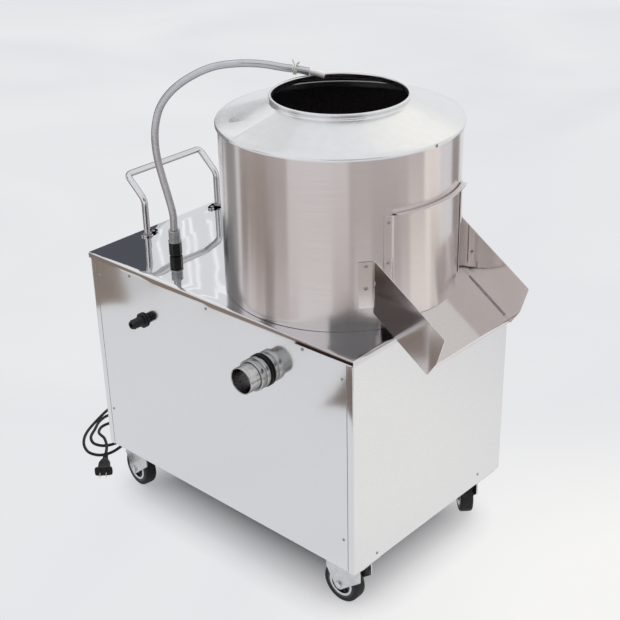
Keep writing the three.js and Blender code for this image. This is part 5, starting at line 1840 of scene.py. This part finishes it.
# %% [markdown]
# ## The drive below
# The motor, its shelf, the pulleys and the belt stand inside the cabinet, where only a look
# from below finds them. Their CAD solids have the right shapes, so they stay and get a
# finish each. The motor gets the things that make it one: cooling fins along its case, a
# slotted cowl over the fan, a lid on its terminal box and four bolts in its flange.

# %% Finishes for the CAD solids that stay
KEPT = {
    "base_frame": "dull_steel", "spindle": "dull_steel", "driven_pulley": "grey_iron",
    "waste_pan": "dull_steel", "bearing_housing": "grey_iron", "upper_bearing": "screw_steel",
    "lower_bearing": "screw_steel", "shaft_seal": "black_rubber", "motor_shelf": "dull_steel",
    "motor_body": "motor_paint", "motor_shaft": "screw_steel", "motor_pulley": "grey_iron",
    "drive_belt": "black_rubber", "water_feed_line": "hose_vinyl",
}
for name, look in KEPT.items():
    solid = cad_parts[name]
    solid.data.materials.clear()
    solid.data.materials.append(FINISHES[look])
print("kept solids:", len(KEPT))

# %% Motor details
MOTOR_X = -255.0
on_motor = Matrix.Translation((MOTOR_X, 0, 0))


def ring_of(shape, count, free=0.0):
    """Copies of a shape round the motor, save where the terminal box sits."""
    copies = []
    for index in range(count):
        angle = 2 * math.pi * index / count
        if abs(math.remainder(angle, 2 * math.pi)) >= free:
            copies.append(moved(shape, on_motor @ Matrix.Rotation(angle, 4, "Z")))
    return copies


def cowl_ring(radius):
    """A raised ring on top of the fan's cowl."""
    return moved(turned([
        (radius, 387.6), (radius + 1.6, 388.0), (radius + 1.6, 388.25), (radius, 388.25),
    ], 60, closed=True), on_motor)


fins = ring_of(brick(73.0, 80.0, -1.1, 1.1, 186.0, 344.0), 40, free=0.5)
cowl_bars = ring_of(brick(67.6, 69.4, -3.2, 3.2, 356.0, 384.0), 24)
cowl_rings = [cowl_ring(radius) for radius in (36, 44, 52, 60)]
piece("motor_fins", join(*fins), "motor_paint", bevel=0.4)
piece("motor_cowl_bars", join(*cowl_bars, *cowl_rings), "motor_paint", bevel=0.3)
terminal_lid = plate(rounded([(-29, 221), (29, 221), (29, 287), (-29, 287)], 5, 4), 0, 3.0)
lid_stand = Matrix(((0, 0, 1, MOTOR_X + 104.0), (1, 0, 0, 0), (0, 1, 0, 0), (0, 0, 0, 1)))
piece("motor_terminal_lid", moved(terminal_lid, lid_stand), "motor_paint", bevel=0.8)
flange_bolts = [
    aimed(hex_head(7.0, 5.0, 11.0), (MOTOR_X + x, y, 180.2), (0, 0, 1), 0.2 * x)
    for x in (-70, 70) for y in (-70, 70)
]
piece("motor_flange_bolts", join(*flange_bolts), "screw_steel", bevel=0.3)
housing_bolts = [
    aimed(hex_head(5.5, 4.2, 9.0), around(50, angle, 386.0), (0, 0, -1), angle)
    for angle in (math.pi / 4 + math.pi / 2 * index for index in range(4))
]
piece("bearing_housing_bolts", join(*housing_bolts), "screw_steel", bevel=0.3)
print("motor details")

# %% [markdown]
# ## Screws on the cabinet
# The panels are held by pan head screws near their corners. Their places come from the
# photograph on the near side and the front, and the hidden sides repeat them.

# %% Cabinet screws
SIDE_SCREWS = [(-317, 493), (-403, 184.6), (182.8, 163.5), (-120, 493), (100, 493), (-403, 470), (182.8, 470)]
FRONT_SCREWS = [(-150.8, 112.9), (139.6, 120.5)]
REAR_SCREWS = [(-190, 118), (190, 118), (-190, 486), (190, 486), (0, 118)]
side_screws = [
    aimed(pan_head(spin=0.9 * index), (x, side * (PANEL_SIDE - 0.2), z), (0, side, 0))
    for side in (-1, 1) for index, (x, z) in enumerate(SIDE_SCREWS)
]
end_screws = []
for x, out, turn, places in (
    (PANEL_FRONT - 0.2, 1, 1.1, FRONT_SCREWS), (PANEL_REAR + 0.2, -1, 1.3, REAR_SCREWS),
):
    for index, (y, z) in enumerate(places):
        end_screws.append(aimed(pan_head(spin=turn * index), (x, y, z), (out, 0, 0)))
screw_set("side_panel_screws", side_screws)
screw_set("end_panel_screws", end_screws)
print("pieces so far:", made_count)

# %% [markdown]
# ## The studio
# The machine stands on a pale sheet under a soft overhead light, with a pale room all
# round. Polished steel is only as good as what it reflects, so the room also has grey and
# brown cards that lie and stand outside the picture, as a product photographer sets them.
# They are seen only in reflections and cast no shadow. Four thin bright ones draw the wavy
# streaks on the deck.

# %% Floor
def seen_by_eye_or_mirror(tree):
    """One for the rays that come straight from the camera, a mirror or a glass, else zero."""
    ray = node(tree, "ShaderNodeLightPath")
    seen = node(tree, "ShaderNodeMath", {
        0: ray.outputs["Is Camera Ray"], 1: ray.outputs["Is Glossy Ray"],
    }, operation="MAXIMUM")
    return node(tree, "ShaderNodeMath", {
        0: seen.outputs[0], 1: ray.outputs["Is Transmission Ray"],
    }, operation="MAXIMUM").outputs[0]


PAINTED_LIGHT_POOL_MIDDLE = (0.75, 0.15, 0)
SHADE_MIDDLE, SHADE_HALF, SHADE_FADE = (-0.04, 0.02, 0), (0.217, 0.112, 0), 0.14


def floor_material():
    """Pale cloth: lit and shadowed round the machine's foot, a plain backdrop farther off with a painted pool
    of light in front of the machine.
    """
    material = bpy.data.materials.new("pale sheet")
    material.use_nodes = True
    tree = material.node_tree
    shader = tree.nodes["Principled BSDF"]
    place = object_place(tree)
    folds = noise(tree, 0.8, 2.0, distortion=1.0, place=place)
    cloth = ramp_range(tree, folds, 0.35, 0.68)
    tone = blend_colour(tree, cloth, (0.86, 0.86, 0.88), (0.91, 0.91, 0.915))
    tree.links.new(tone, shader.inputs["Base Color"])
    shader.inputs["Roughness"].default_value = 0.8
    creases = node(tree, "ShaderNodeBump", {"Height": folds, "Strength": 0.12, "Distance": 0.02})
    tree.links.new(creases.outputs["Normal"], shader.inputs["Normal"])
    far_tone = blend_colour(tree, cloth, (0.77, 0.775, 0.80), (0.82, 0.825, 0.84))
    # Painted light: the backdrop is brighter in a pool in front of the machine.
    painted_pool_distance = vectors(tree, "DISTANCE", place, PAINTED_LIGHT_POOL_MIDDLE)
    painted_light_pool = ramp_range(tree, painted_pool_distance.outputs["Value"], 0.3, 0.8, 1.0, 0.0)
    far_tone = blend_colour(tree, painted_light_pool, far_tone, (0.92, 0.915, 0.90))
    backdrop = node(tree, "ShaderNodeEmission", {"Color": far_tone, "Strength": 1.0})
    folded = vectors(tree, "ABSOLUTE", vectors(tree, "SUBTRACT", place, SHADE_MIDDLE).outputs[0])
    beyond = vectors(tree, "SUBTRACT", folded.outputs[0], SHADE_HALF)
    outside = vectors(tree, "MAXIMUM", beyond.outputs[0], (0, 0, 0))
    distance = vectors(tree, "LENGTH", outside.outputs[0]).outputs["Value"]
    share = product(tree, ramp_range(tree, distance, 0.0, SHADE_FADE), seen_by_eye_or_mirror(tree))
    mix = node(tree, "ShaderNodeMixShader", {0: share})
    tree.links.new(shader.outputs[0], mix.inputs[1])
    tree.links.new(backdrop.outputs[0], mix.inputs[2])
    tree.links.new(mix.outputs[0], tree.nodes["Material Output"].inputs["Surface"])
    return material


def stage_sheet(name, corners, material):
    """A flat sheet of the studio, from its corners in metres."""
    mesh = bpy.data.meshes.new(name)
    mesh.from_pydata(corners, [], [tuple(range(len(corners)))])
    mesh.materials.append(material)
    made = into_scene(name, mesh)
    return made


REACH = 9.0
stage_sheet(
    "studio_floor", [(-REACH, -REACH, 0), (REACH, -REACH, 0), (REACH, REACH, 0), (-REACH, REACH, 0)],
    floor_material(),
)


# %% Cards for the reflections
def card(name, corners, colour):
    """A card of one plain tone whatever the light, which only reflections show."""
    material = bpy.data.materials.new(name)
    material.use_nodes = True
    tree = material.node_tree
    tree.nodes.clear()
    glow = node(tree, "ShaderNodeEmission", {"Color": (*colour, 1), "Strength": 1.0})
    out = node(tree, "ShaderNodeOutputMaterial")
    tree.links.new(glow.outputs[0], out.inputs["Surface"])
    made = stage_sheet(name, corners, material)
    for ray in ("camera", "diffuse", "shadow", "transmission", "volume_scatter"):
        setattr(made, f"visible_{ray}", False)
    return made


def upright_card(name, start, end, low, high, colour):
    """A standing card over a line on the floor, given in metres from the drum's axis."""
    feet = [Vector((axis.x + x, axis.y + y, 0)) for x, y in (start, end)]
    corners = [
        feet[0] + Vector((0, 0, low)), feet[1] + Vector((0, 0, low)),
        feet[1] + Vector((0, 0, high)), feet[0] + Vector((0, 0, high)),
    ]
    return card(f"card_{name}", corners, colour)


def floor_card(name, bearings, near, far, colour, lift=0.002):
    """A card laid on the floor: part of a ring about the drum's axis."""
    first, last = (math.radians(bearing) for bearing in bearings)
    arc = [first + (last - first) * step / 16 for step in range(17)]
    rim = [(near, angle) for angle in arc] + [(far, angle) for angle in reversed(arc)]
    corners = [
        (axis.x + radius * math.cos(angle), axis.y + radius * math.sin(angle), lift) for radius, angle in rim
    ]
    return card(f"card_{name}", corners, colour)


floor_card("left", (-180, -159), 1.40, 3.0, (0.34, 0.34, 0.34))
floor_card("left_near", (-180, -159), 1.05, 1.40, (0.25, 0.25, 0.25))
floor_card("brown", (-153, -143.5), 1.27, 3.0, (0.27, 0.22, 0.19))
floor_card("brown_far", (-143.5, -118), 1.60, 3.0, (0.28, 0.22, 0.18))
floor_card("brown_near", (-140.5, -118), 1.38, 1.60, (0.28, 0.22, 0.18))
floor_card("brown_foot", (-134, -111), 1.22, 1.38, (0.32, 0.25, 0.21))
floor_card("warm", (-118, -97), 1.38, 3.0, (0.38, 0.32, 0.29))
floor_card("pink", (-97, -42), 1.33, 2.35, (0.68, 0.645, 0.635))
floor_card("right", (-42, 14), 1.33, 3.2, (0.47, 0.43, 0.41))
floor_card("right_high", (14, 31), 1.76, 3.2, (0.50, 0.45, 0.43))
floor_card("bright", (14, 38), 1.25, 1.74, (0.98, 0.93, 0.87))
floor_card("bright_edge", (38, 52), 1.25, 1.74, (0.62, 0.57, 0.52))
floor_card("bright_high", (31, 52), 1.76, 3.0, (1.0, 0.95, 0.90))
floor_card("far_right", (73, 92), 1.25, 3.0, (0.30, 0.28, 0.27))
# This dark card is painted shade: it stands in for the drum's shade as the far guard reflects it.
floor_card("painted_gate_shade", (-22, 5), 1.28, 1.52, (0.10, 0.075, 0.07), 0.003)
floor_card("feet", (-122, -113), 1.05, 1.36, (0.03, 0.018, 0.015), 0.003)
floor_card("guard_low", (-113, -88), 0.76, 1.0, (0.21, 0.17, 0.15), 0.003)
floor_card("guard_right", (-57, -38), 1.05, 1.30, (0.27, 0.216, 0.19), 0.003)
upright_card("dark_guard", (-1.72, -1.97), (-1.18, -2.41), 0.9, 2.3, (0.10, 0.085, 0.08))
upright_card("corner", (-0.773, 0.222), (-0.943, -0.007), 0.515, 0.84, (0.10, 0.105, 0.125))
for number, (x, y) in enumerate([(-2.590, 1.767), (-2.493, 1.865), (-2.401, 1.878), (-2.638, 1.952)]):
    upright_card(f"strip_{number}", (x, y), (x + 0.009, y + 0.010), 1.65, 2.2, (1.15, 1.15, 1.16))
upright_card("tray", (1.48, 2.18), (0.447, 2.51), 2.2, 3.3, (0.655, 0.64, 0.635))
upright_card("tray_far", (0.55, -2.41), (1.35, -2.18), 2.25, 3.05, (0.60, 0.585, 0.58))
upright_card("lid_left", (-2.16, 1.35), (-2.55, 0.526), 0.95, 1.70, (0.62, 0.63, 0.635))
upright_card("wedge", (-1.96, 1.48), (-2.39, 0.72), 1.78, 2.5, (1.05, 1.05, 1.05))
upright_card("ceiling", (-2.06, 1.23), (-2.40, 0.476), 2.62, 3.78, (0.70, 0.715, 0.73))
upright_card("left_room", (-2.35, 0.855), (-2.33, -0.896), 0.02, 1.95, (0.25, 0.25, 0.255))
upright_card("dark_room", (1.6, -2.9), (3.4, -0.6), 1.2, 2.8, (0.08, 0.08, 0.085))
upright_card("window", (-1.9, 2.7), (0.6, 3.1), 2.2, 5.0, (1.05, 1.04, 1.0))
print("studio set")

# %% [markdown]
# ## Light
# One large soft lamp hangs high above the machine, so the shadow stays close under it and
# fades fast. Mirrors don't show the lamp, which would print a white square on the deck. The
# room gives the rest. Both are set so that a white sheet comes out just below white,
# because a scene lit more strongly than that loses the tones of pale metal.

# %% Lamps and room
def soft_lamp(name, place, target, size, power):
    """A square lamp that looks at a target."""
    data = bpy.data.lights.new(name, "AREA")
    data.shape, data.size, data.energy = "SQUARE", size, power
    lamp = into_scene(name, data)
    lamp.location = place
    lamp.rotation_mode = "QUATERNION"
    lamp.rotation_quaternion = (Vector(target) - Vector(place)).to_track_quat("-Z", "Y")
    return lamp


overhead_lamp = soft_lamp("overhead_lamp", (0.3, 1.0, 8.0), (0, 0, 0.3), size=4.5, power=300)
overhead_lamp.visible_glossy = False

world = bpy.data.worlds.new("pale_room")
bpy.context.scene.world = world
world.use_nodes = True
room = world.node_tree
room.nodes.clear()
pale = node(room, "ShaderNodeBackground", {"Color": (0.86, 0.87, 0.90, 1), "Strength": 1.0})
fill = node(room, "ShaderNodeBackground", {"Color": (0.96, 0.965, 1.0, 1), "Strength": 0.6})
mix = node(room, "ShaderNodeMixShader", {0: seen_by_eye_or_mirror(room)})
room.links.new(fill.outputs[0], mix.inputs[1])
room.links.new(pale.outputs[0], mix.inputs[2])
room.links.new(mix.outputs[0], node(room, "ShaderNodeOutputWorld").inputs["Surface"])
bpy.context.scene.view_settings.view_transform = "Standard"
print("lit")
